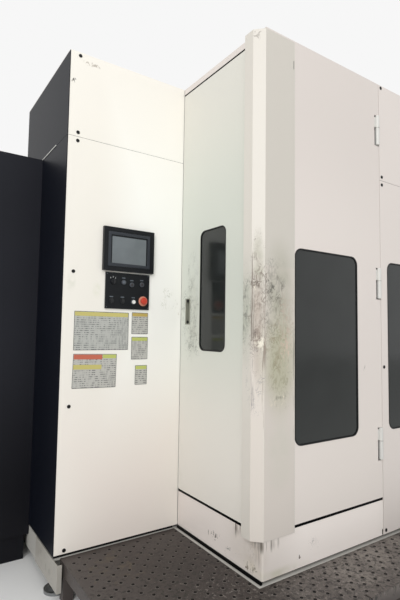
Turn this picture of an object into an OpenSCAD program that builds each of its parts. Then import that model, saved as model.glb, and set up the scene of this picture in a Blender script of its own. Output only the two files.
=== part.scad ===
// Horizontal machining center with a two-pallet changer, seen at its setup-station corner.
// Drawn from the front left bottom corner of the enclosure: X right, Y back, Z up,
// and then moved so that the origin is the middle of its footprint on the floor.

/* [Enclosure] */
// Width of the setup station and the machining area
station_w = 1804; // [1780:1:1900]
// Height of the enclosure above its bottom edge
station_h = 2600; // [2560:1:2700]
// Room between the back of the column and the rear panel
rear_gap = 140; // [120:1:300]
// Height of the enclosure's bottom edge above the floor
base_h = 200; // [180:1:260]
// Thickness of the sheet metal
sheet = 3; // [2:0.5:4]
// Depth of the folded edges of a panel
fold = 25; // [20:1:28]
// Gap between two fixed panels
seam = 2; // [1:0.5:4]
// Height of the seam between the lower and the upper front panel
front_seam_z = 2018; // [1900:1:2200]
// Height of the header rail above the side of the setup door
rail_h = 34; // [25:1:60]

/* [Setup door] */
// Distance from the corner to the door's seam at the front
door_w = 902; // [880:1:920]
// Depth of the door's side leg, which is also where the magazine begins
door_d = 730; // [700:1:800]
// Height of the kick plate under the door
kick_h = 194; // [120:1:260]
// Open gap around the door's bottom and side top
door_gap = 10; // [6:1:16]
// Left edge, bottom, width and height of the front window
front_window_x = 202; // [190:1:240]
window_z = 568; // [500:1:700]
window_w = 486; // [400:1:520]
window_h = 969; // [800:1:1100]
// Front edge, bottom, width and height of the side window
side_window_y = 295; // [250:1:320]
side_window_z = 1009; // [900:1:1100]
side_window_w = 237; // [180:1:260]
side_window_h = 671; // [500:1:750]
// Corner radius of the windows
window_r = 47; // [20:1:60]
// Thickness of the window panes
pane = 5; // [3:0.5:8]
// Front edge, bottom, width and height of the recessed pull
pull_y = 634; // [610:1:650]
pull_z = 1158; // [1000:1:1250]
pull_w = 41; // [34:1:50]
pull_h = 144; // [120:1:180]
// Depth of the recessed pull
pull_depth = 20; // [14:1:22]
// How far the corner cover stands out of the side
cover_proud = 40; // [25:1:60]
// Leg of the corner cover's chamfer
cover_leg = 44; // [42:1:60]
// Length of the corner cover on the side and on the front
cover_side = 103; // [90:1:140]
cover_front = 200; // [150:1:201]
// Bottom and top edges of the corner cover
cover_bottom = 172; // [150:1:185]
cover_top = 2590; // [2500:1:2599]

/* [Door hinges] */
// Radius and length of a hinge barrel
barrel_r = 12.5; // [10:0.5:14]
barrel_l = 170; // [120:1:200]
// Share of the barrel that belongs to the door
barrel_split = 0.4; // [0.3:0.05:0.6]
// Radius of the hinge pin
pin_r = 7; // [5:0.5:8]
// Heights of the three hinge centres
hinge_low = 500; // [350:1:700]
hinge_mid = 1404; // [1300:1:1500]
hinge_high = 2311; // [2200:1:2400]

/* [Magazine cabinet] */
// Width of the magazine cabinet
mag_w = 716; // [690:1:800]
// Depth of its tall front section, and the drum's room behind the spindle nose
mag_tall_d = 860; // [700:1:1000]
drum_room = 132; // [130:1:200]
// Height of the seam between its lower and upper panels
mag_seam_z = 2136; // [2000:1:2300]
// Tools that the drum holds
drum_tools = 18; // [12:1:18]
// Radius of the circle of tool pots
drum_r = 230; // [225:1:240]
// Height of the drum's centre
drum_z = 1100; // [1050:1:1250]
// Teeth of the drum gear and of its pinion, and their module
drum_teeth = 60; // [60:4:60]
pinion_teeth = 15; // [15:1:15]
gear_module = 4; // [3:0.5:4]

/* [Control cabinet] */
// Width, depth and top height of the control cabinet
cab_w = 600; // [500:1:610]
cab_d = 400; // [300:1:500]
cab_top = 2140; // [1900:1:2200]
// Distance from the magazine's front face back to the cabinet
cab_setback = 467; // [440:1:467]

/* [Display and buttons] */
// Left edge, bottom, width and height of the display bezel
hmi_x = -505; // [-560:1:-480]
hmi_z = 1438; // [1438:1:1500]
hmi_w = 303; // [280:1:330]
hmi_h = 239; // [200:1:280]
// How far the bezel and the button plate stand out
hmi_proud = 22; // [12:1:40]
button_proud = 8; // [4:1:15]
// Size of the button plate
button_w = 264; // [240:1:290]
button_h = 198; // [160:1:198]
// Radius of the emergency stop's mushroom
estop_r = 20; // [16:1:24]
// Radius of a push button
push_r = 10; // [8:1:13]

/* [Pallet changer] */
// Distance from the changer's shaft to each pallet
changer_reach = 560; // [520:1:570]
// Distance of the changer's shaft behind the front face
changer_y = 1100; // [1090:1:1120]
// Side and thickness of a pallet
pallet = 400; // [360:1:400]
pallet_t = 70; // [50:1:90]
// Height of the raised pallet's underside
pallet_z = 940; // [920:1:960]
// Stroke of the changer's lift
lift = 60; // [50:1:60]
// Width of the dividing door between the two sides
divider_w = 1590; // [1500:1:1600]

/* [Axes] */
// Travel of the table, of the column and of the spindle head
table_travel = 560; // [500:1:560]
column_travel = 280; // [200:1:280]
head_travel = 560; // [400:1:560]
// Lowest height of the spindle's axis
spindle_z = 1030; // [1025:1:1060]
// Distance from the table's resting place to the spindle nose
nose_gap = 648; // [640:1:660]
// Radius of the spindle shaft and of its nose housing
spindle_r = 45; // [35:1:50]
nose_r = 75; // [70:1:75]

/* [Step platform] */
// Reach of the step in front of the machine and to the left of the corner
step_front = 325; // [200:1:450]
step_left = 680; // [500:1:690]
// Drop from the enclosure's bottom edge to the step's tread
step_drop = 15; // [10:1:30]

/* [Rear equipment] */
// Length of the chip conveyor and tank behind the body
tail_d = 750; // [700:1:900]
// Height of the conveyor's discharge
discharge_z = 880; // [700:1:1000]

/* [Hidden] */
$fn = 64;
eps = 1;
play = 0.2;
bore_play = 0.05;
mid_x = station_w / 2;
tray_t = 10;
tray_out = 25;
tray_z = -step_drop - tray_t;
slab_z0 = -base_h + 60;
home_y = changer_y + changer_reach;
nose_y = home_y + nose_gap;
column_y = nose_y + 332;
column_d = 520;
body_d = column_y + column_d + rear_gap;
mag_back = nose_y + drum_room;
mag_tall_back = door_d + mag_tall_d;
cab_front = door_d + cab_setback;
cab_left = -mag_w - cab_d;
switch_proud = 34;
cnc_depth = 190;
cnc_estop_h = 44;
x_low = cab_left - switch_proud;
x_high = station_w + cnc_depth + cnc_estop_h;
y_low = -step_front;
y_high = body_d + tail_d;
roof_z = station_h - sheet;
door_z = kick_h + door_gap;
hinge_back = 15;
hinge_x = door_w - hinge_back;
hinge_zs = [hinge_low, hinge_mid, hinge_high];
notch_x = hinge_x - 27;
post_y = fold + 5;
barrel_door = barrel_l * barrel_split;
pallet_low_z = pallet_z - lift;
cone_r = 20;
cone_h = 22;
cone_spread = 90;
stand_r = 150;
ram_r = 80;
hub_r = 190;
bar_in = pallet / 2 + 5;
bar_out = bar_in + 60;
lip_in = pallet / 2 - 35;
fork_half = changer_reach + pallet / 2 - 20;
bar_z0 = pallet_z - 30;
bar_z1 = pallet_z + 20;
hub_z0 = pallet_z - 80;
pedestal_top = hub_z0 - lift - 160;
divider_z0 = bar_z0;
bulkhead_top = divider_z0 - lift - 10;
divider_z1 = station_h - 60;
rail_w = 45;
rail_t = 40;
z_rail_x = 250;
z_rail_top = 390;
z_rail_y0 = 1350;
column_half = 350;
x_rail_top = 540;
saddle_half = 310;
saddle_top = pallet_low_z - 240;
table_r = 260;
neck_r = 160;
head_plate_y = column_y - 70;
drum_x = -mag_w / 2 - 42;
exchange_x = mid_x - column_travel;
waiting_x = -58;
arm_x = (exchange_x + waiting_x) / 2;
arm_l = (exchange_x - waiting_x) / 2;
pot_r = 28;
pot_l = 80;
pinion_z = drum_z - (drum_teeth + pinion_teeth) * gear_module / 2;
flange_y = nose_y - 20;
grip_y = nose_y - 46;
grip_t = 18;
grip_r = 25;
opening_y0 = 1250;
opening_y1 = 2200;
opening_z0 = 650;
opening_z1 = 2150;
slider_lap = 30;
slider_x = station_w + 8;
slider_travel = 950;
cone_t = 65;
button_x0 = hmi_x + 20;
button_z0 = hmi_z - 8 - button_h;
estop_x = button_x0 + button_w - 39;
estop_z = button_z0 + 48;
lamps = [[105, 147], [154, 136], [216, 141]];
selector_at = [43, 148];
push_at = [[166, 41], [35, 43], [100, 43]];
lap = 12;
corner_x = max(0, cover_leg - cover_proud + sheet);
fixed_x = door_w + seam;
fixed_window_x = door_w + 63;
cnc_w = 520;
cnc_h = 720;
cnc_y = 520;
cnc_z = 880;
cnc_estop_at = [cnc_w - 60, 80];
cabinet_z = -59;
switch_y = cab_front + 80;
switch_z = 1500;
switch_r = 10;
knuckle_r = 8;
knuckle_pin = 4;
knuckle_l = 40;
cabinet_knuckles = [cabinet_z + 200, cabinet_z + 1050, cab_top - 280];
magazine_knuckles = [200, mag_seam_z / 2, mag_seam_z - 280];
tool_door_y = mag_back - 3;
side_front = door_d + 1;
side_back = cab_front + cab_w + 12;
jamb_gap = 6;
post_clear = 265;
port_half = 270;
port_y0 = nose_y - 430;
port_y1 = nose_y + pot_l + 22;
port_z0 = drum_z - port_half;
port_z1 = drum_z + port_half;
foot_in = 140;
tank_x0 = mid_x + 170;
tank_x1 = station_w - 102;
tank_top = 340;
grip_z0 = 500;
grip_l = 400;

// Moves a piece from the enclosure's corner to the footprint's middle on the floor
module on_floor() {
    translate([-(x_low + x_high) / 2, -(y_low + y_high) / 2, base_h])
        children();
}

// A block between two opposite corners
module block(low, high) {
    translate(low)
        cube(high - low);
}

// Frames on the four sides: X runs along the face, Y runs up and Z points out of it
module face_front(x, y, z) {
    translate([x, y, z])
        rotate([90, 0, 0])
            children();
}
module face_left(x, y, z) {
    translate([x, y, z])
        rotate([90, 0, -90])
            children();
}
module face_right(x, y, z) {
    translate([x, y, z])
        rotate([90, 0, 90])
            children();
}
module face_rear(x, y, z) {
    translate([x, y, z])
        rotate([90, 0, 180])
            children();
}

// A sheet panel with folded edges: its outer face lies at Z 0
module folded_panel(w, h) {
    difference() {
        translate([0, 0, -fold])
            cube([w, h, fold]);
        translate([sheet, sheet, -fold - eps])
            cube([w - 2 * sheet, h - 2 * sheet, fold - sheet + eps]);
    }
}

// A rectangle with round corners, from squares and circles so that it stays exact
module rounded(w, h, r) {
    translate([r, 0])
        square([w - 2 * r, h]);
    translate([0, r])
        square([w, h - 2 * r]);
    for (x = [r, w - r])
        for (y = [r, h - r])
            translate([x, y])
                circle(r);
}

// A cut through a panel's sheet with round corners
module window_cut(x, z, w, h, r) {
    translate([x, z, -fold - eps])
        linear_extrude(fold + 2 * eps)
            rounded(w, h, r);
}

// A pane behind a window cut, held on the sheet's inner face
module window_pane(x, z, w, h) {
    translate([x - lap, z - lap, -sheet - pane])
        linear_extrude(pane)
            rounded(w + 2 * lap, h + 2 * lap, window_r + lap);
}

// A rod along Y between two depths
module rod_y(x, z, r, y0, y1) {
    translate([x, y1, z])
        rotate([90, 0, 0])
            cylinder(r = r, h = y1 - y0);
}

// Corner points of a straight-flanked gear tooth ring
function tooth(z, m, k) =
    let (step = 360 / z, r = z * m / 2, tip = r + 0.8 * m, root = r - 1.1 * m,
        wide = (1.08 * m) / root * 57.3, thin = (0.37 * m) / tip * 57.3)
    [[root, k * step - wide], [tip, k * step - thin], [tip, k * step + thin], [root, k * step + wide]];
function gear_points(z, m, turn) =
    [for (k = [0 : z - 1]) for (p = tooth(z, m, k)) [p[0] * cos(p[1] + turn), p[0] * sin(p[1] + turn)]];

// A locating cone that a pallet sits on
module locating_cones(x, y, z) {
    for (dx = [-cone_spread, cone_spread])
        for (dy = [-cone_spread, cone_spread])
            translate([x + dx, y + dy, z])
                cylinder(r1 = cone_r, r2 = cone_r - 4, h = cone_h);
}

// Cast bed: a slab, two walls under the table's rails and a block under the column
module bed() {
    color("#5b6266")
        difference() {
            union() {
                block([60, 60, slab_z0], [station_w - 60, body_d - 60, tray_z]);
                for (side = [-1, 1])
                    translate([mid_x + side * z_rail_x - 90, z_rail_y0 - 10, tray_z])
                        cube([180, column_y - 40 - z_rail_y0 + 10, z_rail_top - rail_t - tray_z]);
                block([mid_x - z_rail_x, z_rail_y0 - 10, tray_z],
                    [mid_x + z_rail_x, z_rail_y0 + 50, z_rail_top - 190]);
                block([mid_x - 750, column_y - 40, tray_z], [mid_x + 750, body_d - 100, x_rail_top - rail_t]);
            }
            // tunnel for the chip conveyor
            block([mid_x - 160, column_y - 40 - eps, tray_z], [mid_x + 160, body_d, 240]);
            // core pockets of the casting, open to the sides
            for (side = [-1, 1])
                for (y = [column_y + 20, column_y + 300])
                    translate([mid_x + side * 500 - 250 - eps, y, tray_z + 60])
                        cube([500 + 2 * eps, 220, 320]);
            for (x = [400, station_w - 400])
                for (y = [foot_in + 60, body_d / 2 - 150, body_d - 600])
                    translate([x - 120, y, slab_z0 - eps])
                        cube([240, 400, 70]);
        }
}

// Tray under the body, and the magazine's own tray on its welded frame
module base_tray() {
    mag_x1 = -tray_out - play;
    color("#c9cac6") {
        union() {
            difference() {
                block([-tray_out, -10, tray_z], [station_w + tray_out, body_d, -step_drop]);
                block([mid_x - 265, 295, tray_z - eps], [mid_x + 265, z_rail_y0, eps]);
                block([mid_x - z_rail_x - 95, z_rail_y0 - 15, tray_z - eps],
                    [mid_x + z_rail_x + 95, column_y, eps]);
                block([mid_x - 755, column_y - 45, tray_z - eps], [mid_x + 755, body_d - 95, eps]);
                block([mid_x - 150, body_d - 100, tray_z - eps], [mid_x + 150, body_d + eps, eps]);
            }
            // rim that the kick plate and the panels stand on
            difference() {
                block([20, 20, -step_drop], [station_w - 20, body_d - 20, 0]);
                block([60, 60, -step_drop - eps], [station_w - 60, body_d - 60, eps]);
                block([mid_x - 760, body_d - 100, -step_drop - eps], [mid_x + 760, body_d, eps]);
            }
        }
        union() {
            block([-mag_w + sheet, door_d + 5, tray_z], [mag_x1, mag_back - 5, -step_drop]);
            difference() {
                block([-mag_w + 6, door_d + 8, -step_drop - eps], [mag_x1 - 2, mag_back - 8, 0]);
                block([-mag_w + 46, door_d + 48, -step_drop], [mag_x1 - 42, mag_back - 48, eps]);
            }
            difference() {
                block([-mag_w + sheet, door_d + 30, slab_z0], [-40, mag_back - 30, tray_z + eps]);
                block([-mag_w + 83, door_d + 110, slab_z0 - eps], [-120, mag_back - 110, tray_z]);
            }
        }
    }
}

module levelling_foot(x, y) {
    translate([x, y, -base_h]) {
        cylinder(r = 60, h = 15);
        translate([0, 0, 15])
            cylinder(r1 = 45, r2 = 20, h = 10);
        cylinder(r = 12, h = slab_z0 + base_h);
        translate([0, 0, slab_z0 + base_h - 18])
            cylinder(r = 22, h = 18, $fn = 6);
    }
}

module levelling_feet() {
    color("#6d7072") {
        for (x = [foot_in, mid_x, station_w - foot_in])
            for (k = [0 : 3])
                levelling_foot(x, foot_in + k * (body_d - 2 * foot_in) / 3);
        for (x = [-mag_w + 43, -80])
            for (y = [door_d + 70, mag_back - 70])
                levelling_foot(x, y);
    }
}

// Raised step: a tread with a folded skirt on legs, turned round the corner
module step_platform() {
    tread = 8;
    skirt = 60;
    z1 = -step_drop;
    z0 = z1 - tread;
    color("#4c494b")
        difference() {
            union() {
                block([-step_left, -step_front, z0], [station_w, -10, z1]);
                block([-step_left, -10 - eps, z0], [-tray_out, door_d - 5, z1]);
                block([-step_left, -step_front, z1 - skirt], [station_w, -step_front + 4, z1]);
                block([-step_left, -step_front, z1 - skirt], [-step_left + 4, door_d - 5, z1]);
                for (x = [-step_left, -60, 570, 1180, station_w - 50])
                    for (y = [-step_front, -70])
                        block([x, y, -base_h], [x + 50, y + 50, z0 + eps]);
                for (x = [-step_left, -110])
                    block([x, door_d - 65, -base_h], [x + 50, door_d - 15, z0 + eps]);
            }
            // lifting notch in the front edge
            block([323, -step_front - eps, z0 - eps], [338, -step_front + 31, z1 + eps]);
        }
}

module skirt_bracket() {
    color("#b9b8b5") {
        block([-mag_w, door_d - 75, -144], [-mag_w + sheet, door_d + 306, -14]);
        block([-mag_w, door_d - 75, -144], [-mag_w + 23, door_d - 75 + sheet, -14]);
    }
}

// Plan of the corner between two sides that start at a setback, with a bend of radius r
module corner_plan(from, r, x1, y1) {
    difference() {
        translate([from, from])
            square([x1 - from, y1 - from]);
        difference() {
            translate([from - eps, from - eps])
                square(r + eps);
            translate([from + r, from + r])
                circle(r);
        }
    }
}

// One plate bent round the corner, with its edges turned in at the top and bottom
module kick_plate() {
    setback = 1;
    turn_in = 40;
    bend = 8;
    inner = setback + sheet;
    color("#d9d3ca")
        difference() {
            linear_extrude(kick_h)
                corner_plan(setback, bend, door_w - seam, door_d - seam);
            translate([0, 0, sheet])
                linear_extrude(kick_h - 2 * sheet)
                    corner_plan(inner, bend - sheet, door_w, door_d);
            block([inner + turn_in, inner + turn_in, -eps], [door_w, door_d, kick_h + eps]);
            // room for the hinge post, and the drain slot at the seam end
            block([hinge_x - 8, post_y - 1, -eps], [door_w, inner + turn_in + eps, kick_h + eps]);
            block([door_w - 12, 0, -eps], [door_w - 5, inner + eps, 35]);
        }
}

module hinge_post() {
    color("#d6d2ca")
        difference() {
            block([hinge_x - 7, post_y, 0], [hinge_x + 73, post_y + 50, station_h - rail_h]);
            block([hinge_x - 7 + sheet, post_y + sheet, -eps],
                [hinge_x + 73 - sheet, post_y + 50 - sheet, station_h]);
        }
}

// Lower halves of the lift-off hinges, with their pins, on the post
module hinge_pins() {
    color("#e4e0d8")
        for (z = hinge_zs)
            translate([hinge_x, 0, z - barrel_l / 2]) {
                cylinder(r = barrel_r, h = barrel_l - barrel_door - play);
                cylinder(r = pin_r, h = barrel_l - barrel_door + 50);
                translate([-4, 0, 8])
                    cube([8, post_y, barrel_l - barrel_door - 16]);
            }
}

module door_hinges() {
    color("#e4e0d8")
        for (z = hinge_zs)
            translate([hinge_x, 0, z + barrel_l / 2 - barrel_door])
                difference() {
                    union() {
                        cylinder(r = barrel_r, h = barrel_door);
                        translate([notch_x - hinge_x - 25, sheet, 4])
                            cube([25 + hinge_x - notch_x - 6, 5, barrel_door - 8]);
                    }
                    translate([0, 0, -eps])
                        cylinder(r = pin_r + bore_play, h = 55 + eps);
                }
}

module roof_panels() {
    color("#d4d2cb") {
        // setup station and machining area, with the header rails under its edges
        union() {
            block([0, post_y, roof_z], [station_w, body_d, station_h]);
            block([fixed_x, fold, roof_z], [station_w, post_y, station_h]);
            block([0, post_y, station_h - rail_h], [rail_h + 6, door_d - seam, roof_z + eps]);
            block([0, post_y, station_h - rail_h], [fixed_x, post_y + 50, roof_z + eps]);
            block([fixed_x, fold, station_h - rail_h], [station_w - fold, post_y + 50, roof_z + eps]);
        }
        block([-mag_w, door_d + fold, roof_z], [-seam, mag_tall_back, station_h]);
        block([-mag_w, mag_tall_back, mag_seam_z + 1], [0, mag_back, mag_seam_z + 1 + sheet]);
    }
}

module front_panel_lower() {
    color("#e0d9d1")
        face_front(fixed_x, 0, 0)
            difference() {
                folded_panel(station_w - fixed_x, front_seam_z - seam / 2);
                window_cut(fixed_window_x - fixed_x, window_z, window_w, window_h, window_r);
            }
}

module front_panel_upper() {
    z0 = front_seam_z + seam / 2;
    color("#e0d9d1")
        face_front(fixed_x, 0, z0)
            folded_panel(station_w - fixed_x, station_h - z0);
}

module front_window() {
    color("#3a3f40", 0.8)
        face_front(0, 0, 0)
            window_pane(fixed_window_x, window_z, window_w, window_h);
}

// Right side and rear: fixed panels round the sliding door, with its two rails
module outer_panels() {
    color("#dcd8d0") {
        face_right(station_w, fold, 0)
            folded_panel(opening_y0 - fold - seam, roof_z);
        face_right(station_w, opening_y0, 0)
            folded_panel(opening_y1 - opening_y0, opening_z0);
        face_right(station_w, opening_y0, opening_z1)
            folded_panel(opening_y1 - opening_y0, roof_z - opening_z1);
        face_right(station_w, opening_y1 + seam, 0)
            folded_panel(body_d - fold - opening_y1 - 2 * seam, roof_z);
        face_rear(station_w, body_d, x_rail_top + 20)
            folded_panel(station_w, roof_z - x_rail_top - 20);
        for (z = [opening_z0 - 60, opening_z1 + 30 + play])
            block([station_w + play, opening_y0 - 60, z], [station_w + 44, body_d - 60, z + 30 - play]);
    }
}

// Four sheets round the tool changer's port, meeting at open joints
module port_wall(y0, y1) {
    block([0, y0, 0], [sheet, y1, port_z0]);
    block([0, y0, port_z1], [sheet, y1, roof_z]);
    block([0, y0, port_z0 + play], [sheet, port_y0, port_z1 - play]);
    block([0, port_y1, port_z0 + play], [sheet, y1, port_z1 - play]);
}

// Wall beside the magazine, and the fixed sides of the divider
module inner_walls() {
    jamb_left = mid_x - divider_w / 2 - jamb_gap;
    jamb_right = mid_x + divider_w / 2 + jamb_gap;
    color("#cfcdc6") {
        port_wall(door_d + seam, body_d - fold);
        block([sheet + play, changer_y - sheet, 0], [jamb_left, changer_y + sheet, roof_z]);
        block([jamb_left - eps, changer_y, 0], [mid_x - post_clear, changer_y + sheet, bulkhead_top]);
        block([jamb_right, changer_y - sheet, 0], [station_w - fold, changer_y + sheet, roof_z]);
        block([mid_x + post_clear, changer_y, 0], [jamb_right + eps, changer_y + sheet, bulkhead_top]);
    }
}

module magazine_panel_lower() {
    color("#f2f0ea")
        face_front(-mag_w + sheet + 1, door_d, 0)
            folded_panel(mag_w - sheet - 3, mag_seam_z - seam / 2);
}

module magazine_panel_upper() {
    z0 = mag_seam_z + seam / 2;
    color("#f2f0ea")
        face_front(-mag_w + sheet + 1, door_d, z0)
            folded_panel(mag_w - sheet - 3, station_h - z0);
}

// Side panels of the magazine: their front edge is left flat, over the front panel's fold
module side_panel(y1, z0, z1) {
    difference() {
        face_left(-mag_w, y1, z0)
            folded_panel(y1 - side_front, z1 - z0);
        block([-mag_w + sheet + play, side_front - eps, z0 - eps],
            [-mag_w + fold + eps, door_d + fold + play, z1 + eps]);
    }
}

module magazine_side_lower() {
    color("#23262f")
        side_panel(side_back, 0, mag_seam_z + 1);
}

module magazine_side_upper() {
    color("#23262f")
        side_panel(mag_tall_back, mag_seam_z + 1 + seam, roof_z);
}

// Knuckles of a dark door's hinge: the fixed ones with their pins and straps, and the door's own
module fixed_knuckles(x, y, strap, zs) {
    for (z = zs)
        translate([x, y, z]) {
            cylinder(r = knuckle_r, h = knuckle_l);
            cylinder(r = knuckle_pin, h = 2 * knuckle_l - 10);
            cube([strap, knuckle_r, knuckle_l]);
        }
}
module door_knuckles(x, y, zs) {
    for (z = zs)
        translate([x, y, z + knuckle_l + play])
            cylinder(r = knuckle_r, h = knuckle_l);
}
module knuckle_room(x, y, zs) {
    for (z = zs)
        translate([x, y, z]) {
            translate([0, 0, -1])
                cylinder(r = knuckle_r + 1, h = knuckle_l + 1 + play);
            cylinder(r = knuckle_pin + bore_play, h = 2 * knuckle_l - 9);
        }
}

// Rear wall of the magazine with the bearing plate of the drum, and the tall section's back
module magazine_rear() {
    plate_y = mag_back - 45;
    color("#2b2e37") {
        difference() {
            face_rear(-2, mag_back, 0)
                folded_panel(mag_w - fold - 6, mag_seam_z + 1);
            rod_y(drum_x, pinion_z, 20, mag_back - 30, mag_back + 10);
        }
        fixed_knuckles(-mag_w, tool_door_y, fold + 40, magazine_knuckles);
        difference() {
            block([-mag_w + fold + 4, plate_y, drum_z - 320], [-2, mag_back - fold, drum_z + 200]);
            rod_y(drum_x, drum_z, 40 + bore_play, plate_y - eps, mag_back);
            rod_y(drum_x, pinion_z, 12 + bore_play, plate_y - eps, mag_back);
        }
        face_rear(0, mag_tall_back, mag_seam_z + 4)
            folded_panel(mag_w - fold, roof_z - mag_seam_z - 4);
    }
}

// Steel cabinet on a plinth, open towards its door, with the drives on its back plate
module control_cabinet() {
    y1 = cab_front + cab_w;
    door_t = fold + 0.5;
    z0 = cabinet_z;
    color("#1f222a")
        union() {
            difference() {
                block([cab_left + door_t, cab_front, z0], [-mag_w, y1, cab_top]);
                block([cab_left - eps, cab_front + sheet, z0 + sheet], [-mag_w - sheet, y1 - sheet, cab_top - sheet]);
            }
            block([cab_left + 45, cab_front + 20, -base_h], [-mag_w - 20, y1 - 20, z0 + eps]);
            for (row = [0 : 2])
                for (k = [0 : 4 - row])
                    translate([-mag_w - 180 + row * 30, cab_front + 60 + k * (100 + row * 25), 300 + row * 520])
                        cube([178 - row * 30, 80 + row * 22, 380 - row * 60]);
            fixed_knuckles(cab_left, y1, door_t + 30, cabinet_knuckles);
        }
}

// Display housing with its stepped bezel
module hmi_display() {
    rim = 24;
    screen_rim = 47;
    color("#1c2024")
        face_front(hmi_x, door_d, hmi_z)
            difference() {
                cube([hmi_w, hmi_h, hmi_proud]);
                translate([rim, rim, hmi_proud - 3])
                    cube([hmi_w - 2 * rim, hmi_h - 2 * rim, 4]);
                translate([screen_rim, screen_rim - 10, hmi_proud - 6])
                    cube([hmi_w - 2 * screen_rim, hmi_h - 2 * screen_rim + 10, 7]);
            }
}

// Button plate with its lamps and the bushes that the buttons move in
module button_panel() {
    color("#202429")
        face_front(button_x0, door_d, button_z0)
            difference() {
                union() {
                    cube([button_w, button_h, button_proud]);
                    for (p = lamps)
                        translate([p[0], p[1], button_proud])
                            cylinder(r1 = 11, r2 = 9, h = 6);
                    for (p = push_at)
                        translate([p[0], p[1], button_proud])
                            cylinder(r = push_r + 4, h = 4);
                    translate([estop_x - button_x0, estop_z - button_z0, button_proud])
                        cylinder(r = 27, h = 3);
                    translate([selector_at[0], selector_at[1], button_proud])
                        cylinder(r = 14, h = 4);
                }
                for (p = push_at)
                    translate([p[0], p[1], 1])
                        cylinder(r = push_r + bore_play, h = button_proud + 5);
                translate([estop_x - button_x0, estop_z - button_z0, 1])
                    cylinder(r = 11 + bore_play, h = button_proud + 5);
                translate([selector_at[0], selector_at[1], 1])
                    cylinder(r = 8 + bore_play, h = button_proud + 5);
            }
}

module push_button(p, tint) {
    color(tint)
        face_front(button_x0 + p[0], door_d, button_z0 + p[1])
            translate([0, 0, 6])
                cylinder(r = push_r, h = button_proud + 4);
}
module push_white() {
    push_button(push_at[0], "#e8e8e4");
}
module push_left() {
    push_button(push_at[1], "#2a2f34");
}
module push_mid() {
    push_button(push_at[2], "#2a2f34");
}

module mushroom(stem_r, r, seat) {
    cylinder(r = stem_r, h = seat + 10);
    translate([0, 0, seat + 8])
        cylinder(r1 = r - 3, r2 = r, h = 6);
    translate([0, 0, seat + 14])
        cylinder(r1 = r, r2 = r * 0.7, h = 8);
}

module estop_button() {
    color("#d2452c")
        face_front(estop_x, door_d, estop_z)
            translate([0, 0, 6])
                mushroom(11, estop_r, button_proud - 3 + play);
}

module selector_knob() {
    color("#15181c")
        face_front(button_x0 + selector_at[0], door_d, button_z0 + selector_at[1]) {
            translate([0, 0, 2])
                cylinder(r = 8, h = button_proud + 4);
            translate([0, 0, button_proud + 4 + play])
                cylinder(r = 13, h = 5);
            translate([-4, -12, button_proud + 6])
                cube([8, 24, 12]);
        }
}

// One casting on the bed: the changer's pedestal and the stand of the setup pallet
module changer_base() {
    setup_y = changer_y - changer_reach;
    color("#5b6266")
        difference() {
            union() {
                block([mid_x - 250, setup_y - 230, tray_z], [mid_x + 250, changer_y + 200, 60]);
                translate([mid_x, changer_y, tray_z])
                    cylinder(r = 200, h = pedestal_top - tray_z);
                translate([mid_x, setup_y, 0])
                    cylinder(r = 110, h = pallet_low_z - 10);
                translate([mid_x, setup_y, pallet_low_z - 30])
                    cylinder(r = stand_r, h = 30);
                locating_cones(mid_x, setup_y, pallet_low_z);
            }
            translate([mid_x, changer_y, 90])
                cylinder(r = ram_r + bore_play, h = pedestal_top);
        }
}

module lift_ram() {
    color("#aab0b4") {
        translate([mid_x, changer_y, 180])
            cylinder(r = ram_r, h = bar_z1 - 20 - 180);
        translate([mid_x, changer_y, hub_z0 - 20])
            cylinder(r = 120, h = 20 - play);
    }
}

// Two-ended fork that carries a pallet at each end
module changer_arm() {
    color("#6a7074")
        difference() {
            union() {
                translate([mid_x, changer_y, hub_z0])
                    cylinder(r = hub_r, h = bar_z1 - hub_z0);
                block([mid_x - bar_out, changer_y - 150, bar_z0], [mid_x + bar_out, changer_y + 150, bar_z1]);
                for (side = [-1, 1]) {
                    translate([mid_x + side * (bar_in + bar_out) / 2 - 30, changer_y - fork_half, bar_z0])
                        cube([60, 2 * fork_half, bar_z1 - bar_z0]);
                    for (y = [changer_y - changer_reach, changer_y + changer_reach])
                        translate([mid_x + side * (lip_in + bar_in) / 2 - 20 - eps, y - 180, pallet_z - 20])
                            cube([40 + 2 * eps, 360, 20]);
                }
            }
            translate([mid_x, changer_y, hub_z0 - eps])
                cylinder(r = ram_r + bore_play, h = bar_z1 - 19 - hub_z0 + eps);
        }
}

// Dividing door that turns with the fork: a web with a rim and two posts, notched over the fork
module divider() {
    t = 40;
    rim = 20;
    bay = (divider_w - 4 * rim) / 3;
    color("#c4c6c4")
        translate([mid_x, changer_y, 0])
            difference() {
                block([-divider_w / 2, -t / 2, divider_z0], [divider_w / 2, t / 2, divider_z1]);
                for (y = [sheet / 2, -t / 2 - eps])
                    for (k = [0 : 2])
                        translate([-divider_w / 2 + rim + k * (bay + rim), y, bar_z1 + rim])
                            cube([bay, (t - sheet) / 2 + eps, divider_z1 - bar_z1 - 2 * rim]);
                block([-bar_out - 3, -t, divider_z0 - eps], [bar_out + 3, t, bar_z1]);
            }
}

// A pallet: a plate bolted on three foot rails, between which the locating cones stand
module one_pallet(y) {
    rail_h = cone_h + 3;
    slot = cone_r + 1;
    ends = [-pallet / 2, -cone_spread - slot, slot - cone_spread, cone_spread - slot,
        cone_spread + slot, pallet / 2];
    for (k = [0 : 2])
        block([mid_x + ends[2 * k], y - pallet / 2, pallet_z],
            [mid_x + ends[2 * k + 1], y + pallet / 2, pallet_z + rail_h]);
    difference() {
        block([mid_x - pallet / 2, y - pallet / 2, pallet_z + rail_h + play],
            [mid_x + pallet / 2, y + pallet / 2, pallet_z + pallet_t]);
        for (s = [80, 160])
            for (dx = [-s, s])
                for (dy = [-s, s])
                    translate([mid_x + dx, y + dy, pallet_z + pallet_t - 25])
                        cylinder(r = 7, h = 26);
        translate([mid_x, y, pallet_z + pallet_t - 25])
            cylinder(r = 25, h = 26);
    }
}

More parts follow.
